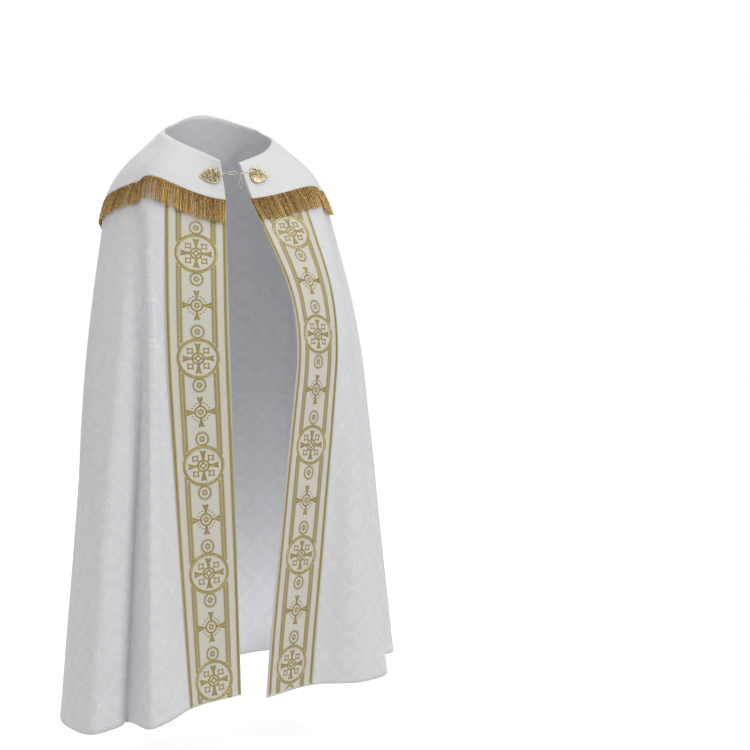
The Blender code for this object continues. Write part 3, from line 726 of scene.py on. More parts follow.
def paint_satin():
    """Cream satin with fine ribs across it."""
    paint, tree, shader, place = new_paint("cream_satin", 0.42, sheen=0.1)
    cloud = noise(tree, place["Object"], 14.0)
    ribs = use_group(tree, WEAVE, place["UV"], Across=0.0040, Along=0.0008)
    tone = calc(tree, "MULTIPLY_ADD", cloud, 0.5, calc(tree, "MULTIPLY", ribs, 0.5))
    tree.links.new(blend_colour(tree, tone, *SATIN), shader["Base Color"])
    raise_surface(tree, shader, ribs, 0.0002, 0.5)
    return paint


def paint_thread(name, dark, light, roughness, pitch):
    """Metallic gold thread, laid in satin stitches across each worked line."""
    paint, tree, shader, place = new_paint(name, roughness, metallic=0.75)
    threads = use_group(tree, WEAVE, place["UV"], Across=pitch, Along=0.0400)
    glint = noise(tree, place["Object"], 420.0, 1.0)
    tone = calc(tree, "MULTIPLY_ADD", glint, 0.9, calc(tree, "MULTIPLY_ADD", threads, 0.5, -0.25))
    tree.links.new(blend_colour(tree, tone, dark, light), shader["Base Color"])
    raise_surface(tree, shader, threads, 0.0003, 0.8)
    return paint


def make_net(centre, shares, distances, lift):
    """A net over part of the cloth, square to one column, for work placed by metres across and down."""
    fine = np.arange(distances[0] - NET_MARGIN, distances[-1] + NET_MARGIN, distances[1] - distances[0])
    grid, out = hang(shares, np.tile(fine, (len(shares), 1)))
    grid = grid + out * lift
    at_centre = np.abs(shares - centre).argmin()
    spine = np.array([np.interp(distances, fine, line) for line in grid[at_centre].T]).T
    fall = np.gradient(spine, axis=0)
    level = np.empty((len(shares), len(distances), 3))
    level_out = np.empty_like(level)
    for k, (line, way) in enumerate(zip(grid, out)):
        for row, (point, down_there) in enumerate(zip(spine, fall)):
            at = np.interp(0, (line - point) @ down_there, fine)
            low = min(int((at - fine[0]) / (fine[1] - fine[0])), len(fine) - 2)
            part = (at - fine[low]) / (fine[1] - fine[0])
            level[k, row] = line[low] * (1 - part) + line[low + 1] * part
            level_out[k, row] = way[low] * (1 - part) + way[low + 1] * part
    steps = np.linalg.norm(np.diff(level, axis=0), axis=2)
    across = np.vstack((0 * distances, np.cumsum(steps, axis=0)))
    across = across - across[at_centre]
    return {"grid": level, "out": level_out, "across": across, "down": distances}


def on_net(net, x, y, z):
    """Points at x across, y down and z out, and the directions out and down there."""
    x, y, z = (np.asarray(value, float).ravel() for value in (x, y, z))
    row = np.clip(np.searchsorted(net["down"], y) - 1, 0, len(net["down"]) - 2)
    found = {name: np.zeros((2, len(x), 3)) for name in ("grid", "out")}
    order = np.arange(len(net["across"]))
    for r in np.unique(row):
        chosen = row == r
        for k in (0, 1):
            at = np.interp(x[chosen], net["across"][:, r + k], order)
            low = np.minimum(at.astype(int), len(order) - 2)
            part = (at - low)[:, None]
            for name, spots in found.items():
                line = net[name][:, r + k]
                spots[k, chosen] = line[low] * (1 - part) + line[low + 1] * part
    part = ((y - net["down"][row]) / np.diff(net["down"])[row])[:, None]
    point, out = (spots[0] * (1 - part) + spots[1] * part for spots in found.values())
    fall = found["grid"][1] - found["grid"][0]
    fall /= np.linalg.norm(fall, axis=1)[:, None]
    return point + out * z[:, None], out, fall


def ribbon(left, right, height, closed=False, cells=4):
    """A low pad of stitches between two lines, as points, their places along and across, and a height."""
    left, right = np.asarray(left, float), np.asarray(right, float)
    if closed:
        left, right = np.vstack((left, left[:1])), np.vstack((right, right[:1]))
    across = np.linspace(-1, 1, cells + 1)
    part = (across[None, :, None] + 1) / 2
    flat = left[:, None] * (1 - part) + right[:, None] * part
    rise = np.tile(height * np.sqrt(1 - across**2) - STITCH_SINK, (len(left), 1))
    run = np.r_[0, np.cumsum(np.linalg.norm(np.diff((left + right) / 2, axis=0), axis=1))]
    width = np.linalg.norm(right - left, axis=1)
    along = np.tile(run[:, None], (1, cells + 1))
    return flat, rise, np.stack((along, across[None] * width[:, None] / 2), -1)


def line_of(path, halves, height, closed=False, cells=4):
    """A pad that follows a path."""
    path = np.asarray(path, float)
    if closed:
        way = np.roll(path, -1, axis=0) - np.roll(path, 1, axis=0)
    else:
        way = np.gradient(path, axis=0)
    way /= np.linalg.norm(way, axis=1)[:, None]
    side = np.stack((-way[:, 1], way[:, 0]), -1) * np.broadcast_to(halves, len(path))[:, None]
    return ribbon(path - side, path + side, height, closed, cells)


def circle(size, count):
    """Points round a circle."""
    turn = 2 * math.pi * np.arange(count) / count
    return np.stack((np.cos(turn), np.sin(turn)), -1) * size


def turned(pad, degrees, scale=1.0, shift=(0.0, 0.0)):
    """A pad turned about zero, then moved."""
    c, s = math.cos(math.radians(degrees)) * scale, math.sin(math.radians(degrees)) * scale
    flat, rise, place = pad
    return flat @ np.array(((c, s), (-s, c))) + np.array(shift), rise, place


def sewn(name, pads, lay):
    """A mesh of pads of stitches, where lay gives the places of a pad's points."""
    points, faces, spots = [], [], []
    total = 0
    for flat, rise, place in pads:
        pad_faces = quads(np.arange(rise.size).reshape(rise.shape))
        points.append(lay(flat, rise))
        faces.append(pad_faces + total)
        spots.append(place.reshape(-1, 2)[pad_faces].reshape(-1, 2))
        total += rise.size
    return new_mesh(name, points, faces, spots)


def work(name, pads, net, paint):
    """Pads of stitches laid on a net, as one piece."""
    mesh = sewn(name, pads, lambda flat, rise: on_net(net, flat[..., 0], flat[..., 1], rise)[0])
    return new_piece(name, mesh, paint)


def flared_arm(start, end, neck, flare, dip, flutes, lobes, height, bend=2.2):
    """A cross's arm along +X that widens to a scalloped end, worked in flutes."""
    t = np.linspace(0, 1, 9)
    half = neck + (flare - neck) * t**bend
    edges = np.linspace(-1, 1, flutes + 1)
    lines = []
    for c in edges:
        tip = end - dip * abs(math.sin(lobes * math.pi * (c + 1) / 2))
        lines.append(np.stack((start + (tip - start) * t, c * half), -1))
    return [ribbon(left, right, height) for left, right in zip(lines, lines[1:])]


def bowed(corners, sags, steps=6):
    """A closed outline through some corners, each side bowed inward by its sag."""
    corners = np.asarray(corners, float)
    t = np.linspace(0, 1, steps, endpoint=False)[:, None]
    outline = []
    for p, q, sag in zip(corners, np.roll(corners, -1, axis=0), sags):
        side = np.array((-(q - p)[1], (q - p)[0])) * sag
        outline.append(p + (q - p) * t + side * 4 * t * (1 - t))
    return np.vstack(outline)


def both_sides(half):
    """A closed row of corners from those of its upper half, which begins and ends on the axis."""
    return list(half) + [(x, -y) for x, y in half[-2:0:-1]]


def star(tips, valleys, inner_tips, inner_valleys, height):
    """A four-pointed star in outline."""
    lines = []
    for tip, valley in ((tips, valleys), (inner_tips, inner_valleys)):
        turns = np.radians(45 * np.arange(8))
        sizes = np.where(np.arange(8) % 2, valley, tip)
        lines.append(bowed(np.stack((np.cos(turns), np.sin(turns)), -1) * sizes[:, None], [0.0] * 8))
    return [ribbon(*lines, height, closed=True)]


def bud(height):
    """A lily bud in outline, that opens along +X."""
    outer = [(0.040, 0.0), (0.030, 0.0125), (0.008, 0.0120), (0.000, 0.0440), (-0.036, 0.0)]
    inner = [(0.027, 0.0), (0.021, 0.0070), (0.003, 0.0090), (-0.003, 0.0240), (-0.0245, 0.0)]
    sags = [-0.10, -0.06, 0.16, 0.10]
    lines = [bowed(both_sides(half), sags + sags[::-1]) for half in (outer, inner)]
    return [ribbon(*lines, height, closed=True)]


def petals(count, start, end, width, height):
    """Petals that stand round a centre."""
    path = np.stack((np.linspace(start, end, 5), np.zeros(5)), -1)
    halves = width / 2 * np.array((0.35, 0.8, 1.0, 0.8, 0.2))
    petal = line_of(path, halves, height, cells=2)
    return [turned(petal, 360 * k / count) for k in range(count)]


def in_quarters(arm, corner=(), away=0.0, turns=(45, 45, 45, 45)):
    """An arm set four times round a centre, each with a corner piece moved out beside it."""
    pads = []
    for k, degrees in enumerate(turns):
        diagonal = math.radians(90 * k + 45)
        shift = away * np.array((math.cos(diagonal), math.sin(diagonal)))
        pads += [turned(pad, 90 * k) for pad in arm]
        pads += [turned(pad, degrees, shift=shift) for pad in corner]
    return pads


def ring_cross(height):
    """The cross in a roped ring: four flared arms, a ringed star, and a small star in each corner."""
    pads = [line_of(circle(RING_RADIUS, 72), RING_HALF_WIDTH, height * 0.6, closed=True)]
    pads.append(line_of(circle(CROSS_RING, 32), LINE_HALF_WIDTH, height, closed=True))
    pads += star(*CROSS_STAR, height)
    arm = flared_arm(*CROSS_ARM, *ARM_FLUTES, height, ARM_BEND)
    return pads + in_quarters(arm, star(*CORNER_STAR, height), CORNER_AT)


def small_cross(height):
    """A cross of four flared arms about a ringed flower."""
    pads = [line_of(circle(SMALL_RING, 32), LINE_HALF_WIDTH, height, closed=True)]
    pads += petals(*CROSS_PETALS, height)
    return pads + in_quarters(flared_arm(*SMALL_ARM, *ARM_FLUTES, height, ARM_BEND))


def rosette(height):
    """A flower in a ring."""
    size, half = ROSETTE_RING
    return [line_of(circle(size, 36), half, height, closed=True)] + petals(*ROSETTE_PETALS, height)


def placed(pads, y, wide=1.0):
    """Pads moved down the band, and made wider."""
    return [(flat * (wide, 1) + np.array((0.0, y)), rise, place) for flat, rise, place in pads]


def cut_off(pads, foot):
    """What is left of some pads above the hem."""
    left = []
    for flat, rise, place in pads:
        kept = np.all(flat[..., 1] < foot, axis=1)
        rows = np.roll(np.arange(len(kept)), -np.argmin(kept))
        rows = rows[kept[rows]]
        if len(rows) > 1:
            left.append((flat[rows], rise[rows], place[rows]))
    return left


def geometry_group(name, inputs):
    """A Geometry Nodes tree, what it is given, and its inputs' identifiers."""
    tree = bpy.data.node_groups.new(name, "GeometryNodeTree")
    new_socket = tree.interface.new_socket
    new_socket("Geometry", in_out="INPUT", socket_type="NodeSocketGeometry")
    new_socket("Geometry", in_out="OUTPUT", socket_type="NodeSocketGeometry")
    named = {
        label: new_socket(label, in_out="INPUT", socket_type="NodeSocket" + kind).identifier
        for label, kind in (*inputs, ("Finish", "Material"))
    }
    return tree, new_node(tree, "NodeGroupInput").outputs, named


def own(tree, label, kind="FLOAT"):
    """A number or vector that each point carries."""
    return new_node(tree, "GeometryNodeInputNamedAttribute", {"Name": label}, data_type=kind).outputs[0]


def finish_group(tree, mesh, given):
    """The end of a tree, where the mesh gets its material."""
    last = new_node(tree, "GeometryNodeSetMaterial", {"Geometry": mesh, "Material": given["Finish"]})
    new_node(tree, "NodeGroupOutput", {0: last.outputs[0]})


def make_spread():
    """A tree that sets a unit on every point, turned by the point's own directions."""
    tree, given, named = geometry_group("set_units", (("Unit", "Object"),))
    turn = new_node(tree, "FunctionNodeAxesToRotation", {
        "Primary Axis": own(tree, "out", "FLOAT_VECTOR"), "Secondary Axis": own(tree, "way", "FLOAT_VECTOR"),
    }, primary_axis="Z", secondary_axis="Y")
    unit = new_node(tree, "GeometryNodeObjectInfo", {"Object": given["Unit"]})
    copies = new_node(tree, "GeometryNodeInstanceOnPoints", {
        "Points": given["Geometry"], "Instance": unit.outputs["Geometry"],
        "Rotation": turn.outputs[0], "Scale": own(tree, "size"),
    })
    real = new_node(tree, "GeometryNodeRealizeInstances", {0: copies.outputs[0]})
    finish_group(tree, real.outputs[0], given)
    return tree, named


SPREAD_TREE, SPREAD_INPUTS = make_spread()


def modified(name, mesh, values, tree, named, inputs, paint):
    """A piece that a tree makes from a mesh whose points carry some values."""
    for label, (kind, numbers) in values.items():
        attribute = mesh.attributes.new(label, kind, "POINT").data
        field = "vector" if kind == "FLOAT_VECTOR" else "value"
        attribute.foreach_set(field, np.asarray(numbers, float).ravel())
    piece = add(name, mesh)
    modifier = piece.modifiers.new(name, "NODES")
    modifier.node_group = tree
    for label, value in {**inputs, "Finish": paint}.items():
        modifier[named[label]] = value
    depsgraph = bpy.context.evaluated_depsgraph_get()
    mesh = bpy.data.meshes.new_from_object(piece.evaluated_get(depsgraph))
    piece.modifiers.clear()
    piece.data = mesh
    mesh.name = name
    if not mesh.materials:
        mesh.materials.append(paint)
    mesh.shade_smooth()
    return piece


def unit_of(name, pad):
    """An object of one pad, to be set many times. Its long side is along Y."""
    mesh = sewn(name, [pad], lambda flat, rise: np.dstack((flat, rise)).reshape(-1, 3))
    mesh.shade_smooth()
    return add(name, mesh)


def stud(name, unit, net, x, y, degrees, sizes, paint):
    """Copies of a unit set on a net, each turned by some degrees from across towards down."""
    spots, out, fall = on_net(net, x, y, np.zeros(len(x)))
    across = np.cross(fall, out)
    turn = np.radians(np.broadcast_to(degrees, len(x)))[:, None]
    mesh = bpy.data.meshes.new(name)
    mesh.from_pydata(spots.tolist(), [], [])
    values = {
        "out": ("FLOAT_VECTOR", out),
        "way": ("FLOAT_VECTOR", across * np.cos(turn) + fall * np.sin(turn)),
        "size": ("FLOAT", np.broadcast_to(sizes, len(x))),
    }
    return modified(name, mesh, values, SPREAD_TREE, SPREAD_INPUTS, {"Unit": unit}, paint)


def leaf(length, width, height, fullness, points=7):
    """One stitch bundle along Y, that narrows to both ends."""
    t = np.linspace(0, 1, points)
    halves = width / 2 * np.sin(math.pi * np.clip(t, 0.03, 0.97)) ** fullness
    return line_of(np.stack((0 * t, (t - 0.5) * length), -1), halves, height, cells=2)


def in_rows(rows):
    """Across, down and turn of every stitch in some rows, each given by where it is, its steps and turn."""
    lined = [(np.full(len(steps), x), steps, np.full(len(steps), turn)) for x, steps, turn in rows]
    return [np.concatenate(values) for values in zip(*lined)]


def scattered(middles, spots):
    """Across and down of some spots round each of some places down the band."""
    return np.vstack([spots + (0, y) for y in middles]).T


satin = paint_satin()
gold = paint_thread("gold_thread", (0.22, 0.165, 0.038), (0.62, 0.505, 0.18), 0.38, 0.0007)
# A lighter, glossier copy of the gold thread for the roped rings: its lighter colour is painted highlight.
highlight_gold = paint_thread("bright_gold_thread", (0.32, 0.26, 0.07), (0.90, 0.80, 0.40), 0.26, 0.0009)
units = {name: unit_of(name, leaf(*sizes)) for name, sizes in LEAVES.items()}
band_inside = BODY_WALL / 2 + SEAM_GAP
band_middle = BAND_COLUMNS // 2
for name, first, last, first_ring, repeat in BANDS:
    band_shares = np.linspace(SHARE[first], SHARE[last], BAND_COLUMNS)
    lines = columns(band_shares)
    band_down = np.array([np.linspace(BAND_TOP, length_of(line) - BAND_SHORT, BAND_ROWS) for line in lines])
    middle, out = hang(band_shares, band_down)
    edge = np.abs(np.linspace(-1, 1, BAND_COLUMNS))[:, None, None]
    rolled = BAND_EDGE_ROLL * ease((edge - BAND_ROLL_FROM) / (1 - BAND_ROLL_FROM))
    outer, inner = middle + out * (band_inside + BAND_WALL - rolled), middle + out * band_inside
    width_run = (band_shares - band_shares[band_middle]) / (SHARE[last] - SHARE[first]) * BAND_CUT[0]
    cut = np.stack((np.tile(width_run[:, None], (1, BAND_ROWS)), band_down), -1)
    band = wall(name + "_band", outer, inner, cut[:-1], cut[1:], satin)

    net_down = np.arange(BAND_TOP, NET_FOOT, NET_STEP)
    net = make_net(band_shares[band_middle], band_shares, net_down, band_inside + BAND_WALL)
    net["across"] = net["across"] - (net["across"][:1] + net["across"][-1:]) / 2
    spine = net["grid"][band_middle]
    above = ((middle[:, -1:] - spine) * np.gradient(spine, axis=0)).sum(axis=-1)
    feet = np.array([np.interp(0, -line, net_down) for line in above]) - WORK_SHORT
    foot, left_foot, right_foot = np.interp((0, -CABLE_AT, CABLE_AT), net["across"][:, NET_ROW], feet)
    rings = first_ring + repeat * np.arange(RING_COUNT)
    crosses, roses = rings[:-1] + repeat / 2, np.r_[rings - repeat / 4, rings + repeat / 4]
    pads = []
    motifs = (ring_cross, rings, RING_OVAL), (small_cross, crosses, 1), (rosette, roses, 1)
    for motif, places, wide in motifs:
        for y in places:
            pads += placed(motif(STITCH_HEIGHT), y, wide)
    pads = cut_off(pads, foot)
    for x, end in ((-CABLE_AT, left_foot), (CABLE_AT, right_foot)):
        ties = np.arange(BAND_TOP + CABLE_TIE_FROM, end, CABLE_TIE_STEP)
        pads.append(line_of(np.stack((np.full(len(ties), x), ties), -1), *CABLE_TIE, cells=2))
    stitched = [work(name + "_crosses", pads, net, gold)]

    rows = []
    for at, side in ((-BRAID_AT, -1), (-BRAID_AT, 1), (BRAID_AT, -1), (BRAID_AT, 1)):
        x = at + side * BRAID_SPREAD
        steps = np.arange(BAND_TOP + WORK_TOP, np.interp(x, net["across"][:, NET_ROW], feet), LEAF_PITCH)
        reach = math.sqrt((RING_RADIUS + BRAID_GAP) ** 2 - min((x / RING_OVAL) ** 2, RING_RADIUS**2))
        clear = np.all(np.abs(steps[:, None] - rings) > reach, axis=1)
        rows.append((x, steps[clear], 90 + BRAID_TURN * side))
    stitched.append(stud(name + "_braids", units["braid_leaf"], net, *in_rows(rows), 1.0, gold))
    rows = [
        (x, np.arange(BAND_TOP + WORK_TOP, end, CABLE_PITCH), turn)
        for x, end, turn in zip((-CABLE_AT, CABLE_AT), (left_foot, right_foot), CABLE_TURNS)
    ]
    stitched.append(stud(name + "_cables", units["cable_leaf"], net, *in_rows(rows), 1.0, gold))
    xs, ys = scattered(rings, circle(RING_RADIUS, ROPE_TURNS) * (RING_OVAL, 1))
    turns = np.tile(np.arange(ROPE_TURNS) * 360 / ROPE_TURNS + 90 - ROPE_SLANT, RING_COUNT)
    stitched.append(stud(name + "_ropes", units["rope_strand"], net, xs, ys, turns, 1.0, highlight_gold))
    away, count, size = ROSETTE_BEADS
    rose_beads = scattered(roses, circle(away, count))
    sizes = np.full(len(rose_beads[0]), size)
    away, turns, size = CROSS_BEADS
    turn = np.radians([90 * k + part for k in range(4) for part in turns])
    cross_beads = scattered(crosses, away * np.stack((np.cos(turn), np.sin(turn)), -1))
    sizes = np.r_[sizes, np.full(len(cross_beads[0]), size)]
    xs, ys = np.hstack((rose_beads, cross_beads))
    kept = ys < foot
    stitched.append(stud(name + "_beads", units["bead"], net, xs[kept], ys[kept], 0, sizes[kept], gold))
    for piece in [band] + stitched:
        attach(piece, "cope")
    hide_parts(name)

# ---------------------------------------------------------------------------------------------
# Hood
# A shield of smooth white cloth behind, drawn over the shoulders to the front edges in one piece,
# with a hem turned under all along its lower edge. A fluted gold cross about a ringed star, with a
# lily bud in each corner, is worked in satin stitch in the middle of the shield.
# ---------------------------------------------------------------------------------------------
# How far the hood reaches down the columns from the neckline, on its right half and on its left
HOOD_DROP = (
    {
        "edge_right": 0.094, "band_right": 0.124, "roll_front": 0.156, "roll_side": 0.186,
        "roll_back": 0.206, "panel_right": 0.252, "back_2": 0.304, "back_3": 0.340, "centre": 0.378,
    },
    {
        "centre": 0.378, "back_6": 0.336, "back_7": 0.300, "valley_left": 0.250, "fold_2": 0.203,
        "fold_4": 0.182, "ridge_left": 0.160, "band_left": 0.120, "edge_left": 0.090,
    },
)
HOOD_WALL = 0.0016
HOOD_STAND_OFF = 0.0022
HOOD_SEAM = 0.0009
HOOD_FIRST_ROW = 0.07
HOOD_INSIDE = BODY_WALL / 2 + SEAM_GAP + BAND_WALL + HOOD_STAND_OFF
HOOD_COLUMNS = 241
HOOD_ROWS = 62
HOOD_HEM = 0.011
HOOD_HEM_STEP = 0.0006, 0.0025  # how high it stands, and over how far it rises
HOOD_HEM_ROLL = 0.0005, 0.003  # how far its edge rolls back, and from where
HOOD_CUT_RUN = 1.4  # metres of its cut for one whole share
HOOD_CLOTH = (0.80, 0.80, 0.795), (0.86, 0.86, 0.855)
HOOD_GIRTH = 0.8, 3.0  # round the neck, and how much more for each metre down
HOOD_FADES = 0.4, 0.3  # of a fold's length, at its top and bottom
HOOD_FOLDS = (
    # column, beside, top, bottom, lean, height, width
    ("edge_right", 0.045, 0.02, 0.16, 0.030, 0.0022, 0.012),
    ("band_right", 0.010, 0.01, 0.13, 0.020, 0.0030, 0.014),
    ("roll_front", 0.010, 0.02, 0.20, 0.015, 0.0034, 0.016),
    ("roll_side", 0.050, 0.02, 0.24, -0.010, 0.0032, 0.018),
    ("back_1", 0.010, 0.03, 0.26, 0.020, 0.0026, 0.020),
    ("back_7", 0.030, 0.03, 0.28, -0.020, 0.0030, 0.020),
    ("fold_1", 0.020, 0.02, 0.22, 0.012, 0.0034, 0.018),
    ("fold_4", 0.020, 0.02, 0.19, -0.014, 0.0028, 0.014),
    ("front_left", 0.030, 0.01, 0.15, -0.022, 0.0026, 0.014),
)
EMBLEM_DOWN = 0.172
EMBLEM_STITCH = 0.0012
EMBLEM_NET_FOOT = 0.37
EMBLEM_NET_STEP = 0.004
EMBLEM_NET_BESIDE = 0.06  # shares past the back panel
EMBLEM_NET_COLUMNS = 121
EMBLEM_RINGS = (0.0655, 0.0565)
EMBLEM_RING_HALF_WIDTH = 0.0044
EMBLEM_STAR = 0.0505, 0.0210, 0.0290, 0.0125
EMBLEM_ARM = 0.0700, 0.1500, 0.0070, 0.0310, 0.0045
EMBLEM_FLUTES = 6
EMBLEM_LOBES = 3
EMBLEM_BUDS_AT = 0.1040


def hood_reach(shares):
    """How far the hood reaches down the columns at some shares."""
    halves = []
    for table in HOOD_DROP:
        known = [SHARE[name] for name in table]
        drops = [[drop] for drop in table.values()]
        halves.append(spline(known, drops, np.clip(shares, known[0], known[-1]))[:, 0])
    return np.where(np.asarray(shares) < SHARE["centre"], *halves)


def hood_lift(shares, distances):
    """How far the hood's own folds stand off."""
    return folded(HOOD_FOLDS, shares, distances, HOOD_GIRTH, HOOD_FADES)


def along_edge(count):
    """Shares evenly spaced along the hood's lower edge, one of them at its point."""
    fine = np.linspace(0, 1, 601)
    edge = np.array([down(line, [drop])[0] for line, drop in zip(columns(fine), hood_reach(fine))])
    run = np.r_[0, np.cumsum(np.linalg.norm(np.diff(edge, axis=0), axis=1))]
    found = np.interp(np.linspace(0, run[-1], count), run, fine)
    found[np.abs(found - SHARE["centre"]).argmin()] = SHARE["centre"]
    return found


def paint_hood():
    """Smooth close-woven white cloth."""
    paint, tree, shader, place = new_paint("hood_cloth", 0.62, sheen=0.2)
    cloud = noise(tree, place["Object"], 16.0, 3.0)
    threads = use_group(tree, WEAVE, place["UV"], Across=0.0008, Along=0.0008)
    tree.links.new(blend_colour(tree, cloud, *HOOD_CLOTH), shader["Base Color"])
    raise_surface(tree, shader, threads, 0.0002, 0.5)
    return paint


hood_shares = along_edge(HOOD_COLUMNS)
hood_rows = np.r_[0, np.linspace(HOOD_FIRST_ROW, 1, HOOD_ROWS - 1)]
hood_down = hood_reach(hood_shares)[:, None] * hood_rows
middle, out = hang(hood_shares, hood_down)
stand = np.full(HOOD_ROWS, HOOD_INSIDE)
stand[0] = BODY_WALL / 2 + HOOD_SEAM
stand = stand + hood_lift(hood_shares, hood_down) * np.minimum(1, hood_rows / HOOD_FIRST_ROW)
to_edge = hood_reach(hood_shares)[:, None] - hood_down
step, rise_over = HOOD_HEM_STEP
roll, roll_from = HOOD_HEM_ROLL
hem_step = step * ease((HOOD_HEM - to_edge) / rise_over) - roll * ease((roll_from - to_edge) / roll_from)
outer = middle + out * (stand + HOOD_WALL + hem_step)[..., None]
inner = middle + out * stand[..., None]
from_middle = (hood_shares[:, None] - SHARE["centre"]) * HOOD_CUT_RUN
cut = np.stack((np.tile(from_middle, (1, HOOD_ROWS)), hood_down), -1)
hood = wall("hood_shield", outer, inner, cut[:-1], cut[1:], paint_hood())

shield_ends = SHARE["panel_right"] - EMBLEM_NET_BESIDE, SHARE["panel_left"] + EMBLEM_NET_BESIDE
shield_shares = np.linspace(*shield_ends, EMBLEM_NET_COLUMNS)
net_down = np.arange(0.0, EMBLEM_NET_FOOT, EMBLEM_NET_STEP)
net = make_net(SHARE["centre"], shield_shares, net_down, HOOD_INSIDE + HOOD_WALL)
lift = hood_lift(shield_shares, np.tile(net_down, (EMBLEM_NET_COLUMNS, 1)))
net["grid"] = net["grid"] + net["out"] * lift[..., None]
pads = []
for size in EMBLEM_RINGS:
    pads.append(line_of(circle(size, 96), EMBLEM_RING_HALF_WIDTH, EMBLEM_STITCH, closed=True))
pads += star(*EMBLEM_STAR, EMBLEM_STITCH)
arm = flared_arm(*EMBLEM_ARM, EMBLEM_FLUTES, EMBLEM_LOBES, EMBLEM_STITCH)
pads += in_quarters(arm, bud(EMBLEM_STITCH), EMBLEM_BUDS_AT, (45, 135, 225, 315))
emblem = work("hood_cross", placed(pads, EMBLEM_DOWN), net, gold)

# ---------------------------------------------------------------------------------------------
# Fringe
# Old-gold bullion: three-ply cords, each twisted hard and rounded at its end, hung side by side
# from a narrow woven heading that is sewn along the hood's lower edge.
# ---------------------------------------------------------------------------------------------
CORD_COUNT = 400
CORD_RADIUS = 0.0019
CORD_LENGTH = 0.059
CORD_UNEVEN = -0.003, 0.0005  # the range of differences in length
CORD_TUCK = 0.0010  # how far they begin above the hood's edge
CORD_TWIST = 900.0  # radians a metre
CORD_STEPS = 32
CORD_POINTS = 8
CORD_END = 1.03  # of its length, where it would come to a point
CORD_TAPER = 14.0  # how soon its end rounds off
CORD_HOLLOW = 0.62  # of its radius, in the grooves between its plies
CORD_LAYERS = 0.0009, -0.0004  # every other cord in front, and behind
CORD_LAYER_SPREAD = 0.0003
CORD_SWAY = 0.0008
CORD_BEND = 0.0005
CORD_BUNCH = 0.11  # the chance that a cord begins a new bunch
CORD_GATHER = 0.00055  # how far each place nearer its bunch's middle
FRINGE_FLARE = 0.0030
FRINGE_GOLD = (0.17, 0.075, 0.012), (0.98, 0.66, 0.24)
FRINGE_SEED = 7
HEADING_ROWS = (-0.0004, 0.0015, 0.0035, 0.0055)  # down from the hood's edge
HEADING_STAND_OFF = 0.0004
HEADING_WALL = 0.0008
HEADING_STEP = 0.006  # along its cut for each column


def make_cords():
    """A tree that winds three-ply cords along lines. Each line's own numbers say how it is turned."""
    inputs = ("Radius", "Float"), ("Twist", "Float"), ("Steps", "Int")
    tree, given, named = geometry_group("twisted_cords", inputs)
    line = new_node(tree, "GeometryNodeMeshToCurve", {0: given["Geometry"]})
    line = new_node(tree, "GeometryNodeResampleCurve", {"Curve": line.outputs[0], "Count": given["Steps"]})
    along = new_node(tree, "GeometryNodeSplineParameter").outputs
    turn = calc(tree, "MULTIPLY_ADD", along["Length"], given["Twist"], own(tree, "phase"))
    line = new_node(tree, "GeometryNodeSetCurveTilt", {"Curve": line.outputs[0], "Tilt": turn})
    left = calc(tree, "SUBTRACT", CORD_END, along["Factor"])
    section = new_node(tree, "GeometryNodeCurveStar", {
        "Points": 3, "Outer Radius": given["Radius"],
        "Inner Radius": calc(tree, "MULTIPLY", given["Radius"], CORD_HOLLOW),
    })
    swept = new_node(tree, "GeometryNodeCurveToMesh", {
        "Curve": line.outputs[0], "Profile Curve": section.outputs[0], "Fill Caps": True,
        "Scale": calc(tree, "MINIMUM", calc(tree, "MULTIPLY", left, CORD_TAPER), 1.0),
    })
    finish_group(tree, swept.outputs[0], given)
    return tree, named


def paint_fringe():
    """Old gold thread, darker near the heading, with every cord a little different."""
    paint, tree, shader, place = new_paint("fringe_thread", 0.42, metallic=0.6)
    shade = new_node(tree, "ShaderNodeAttribute", attribute_name="shade").outputs["Fac"]
    fall = new_node(tree, "ShaderNodeAttribute", attribute_name="fall").outputs["Fac"]
    glint = noise(tree, place["Object"], 400.0, 1.0)
    tone = calc(tree, "MULTIPLY_ADD", shade, 0.50, calc(tree, "MULTIPLY_ADD", glint, 2.2, -1.00))
    tone = calc(tree, "ADD", tone, calc(tree, "MULTIPLY", fall, 0.25))
    tree.links.new(blend_colour(tree, tone, *FRINGE_GOLD), shader["Base Color"])
    return paint


chance = np.random.default_rng(FRINGE_SEED)
cord_shares = along_edge(CORD_COUNT + 1)
cord_shares = (cord_shares[1:] + cord_shares[:-1]) / 2
parts = np.linspace(0, 1, CORD_POINTS)
lengths = CORD_LENGTH + chance.uniform(*CORD_UNEVEN, CORD_COUNT)
cord_down = hood_reach(cord_shares)[:, None] - CORD_TUCK + parts * lengths[:, None]
middle, out = hang(cord_shares, cord_down)
across = np.gradient(middle, axis=0)
across /= np.linalg.norm(across, axis=2)[..., None]
cord_order = np.arange(CORD_COUNT)
layer = np.where(cord_order % 2, *CORD_LAYERS)
layer += chance.uniform(-CORD_LAYER_SPREAD, CORD_LAYER_SPREAD, CORD_COUNT)
rise = HOOD_INSIDE + HOOD_WALL / 2 + layer[:, None] * np.minimum(1, parts * 8) + FRINGE_FLARE * parts**1.4
sway = chance.normal(0, CORD_SWAY, CORD_COUNT)[:, None] * parts**1.3
bend = chance.normal(0, CORD_BEND, CORD_COUNT)[:, None] * np.sin(2.2 * math.pi * parts)
bunch = np.cumsum(chance.uniform(0, 1, CORD_COUNT) < CORD_BUNCH)
from_middle = cord_order - (np.bincount(bunch, cord_order) / np.bincount(bunch))[bunch]
sway = sway - CORD_GATHER * from_middle[:, None] * parts**1.2
points = middle + out * rise[..., None] + across * (sway + bend)[..., None]
order = np.arange(points[..., 0].size).reshape(points.shape[:2])
steps = np.stack((order[:, :-1], order[:, 1:]), -1).reshape(-1, 2)
mesh = bpy.data.meshes.new("fringe_cords")
mesh.from_pydata(points.reshape(-1, 3).tolist(), steps.tolist(), [])
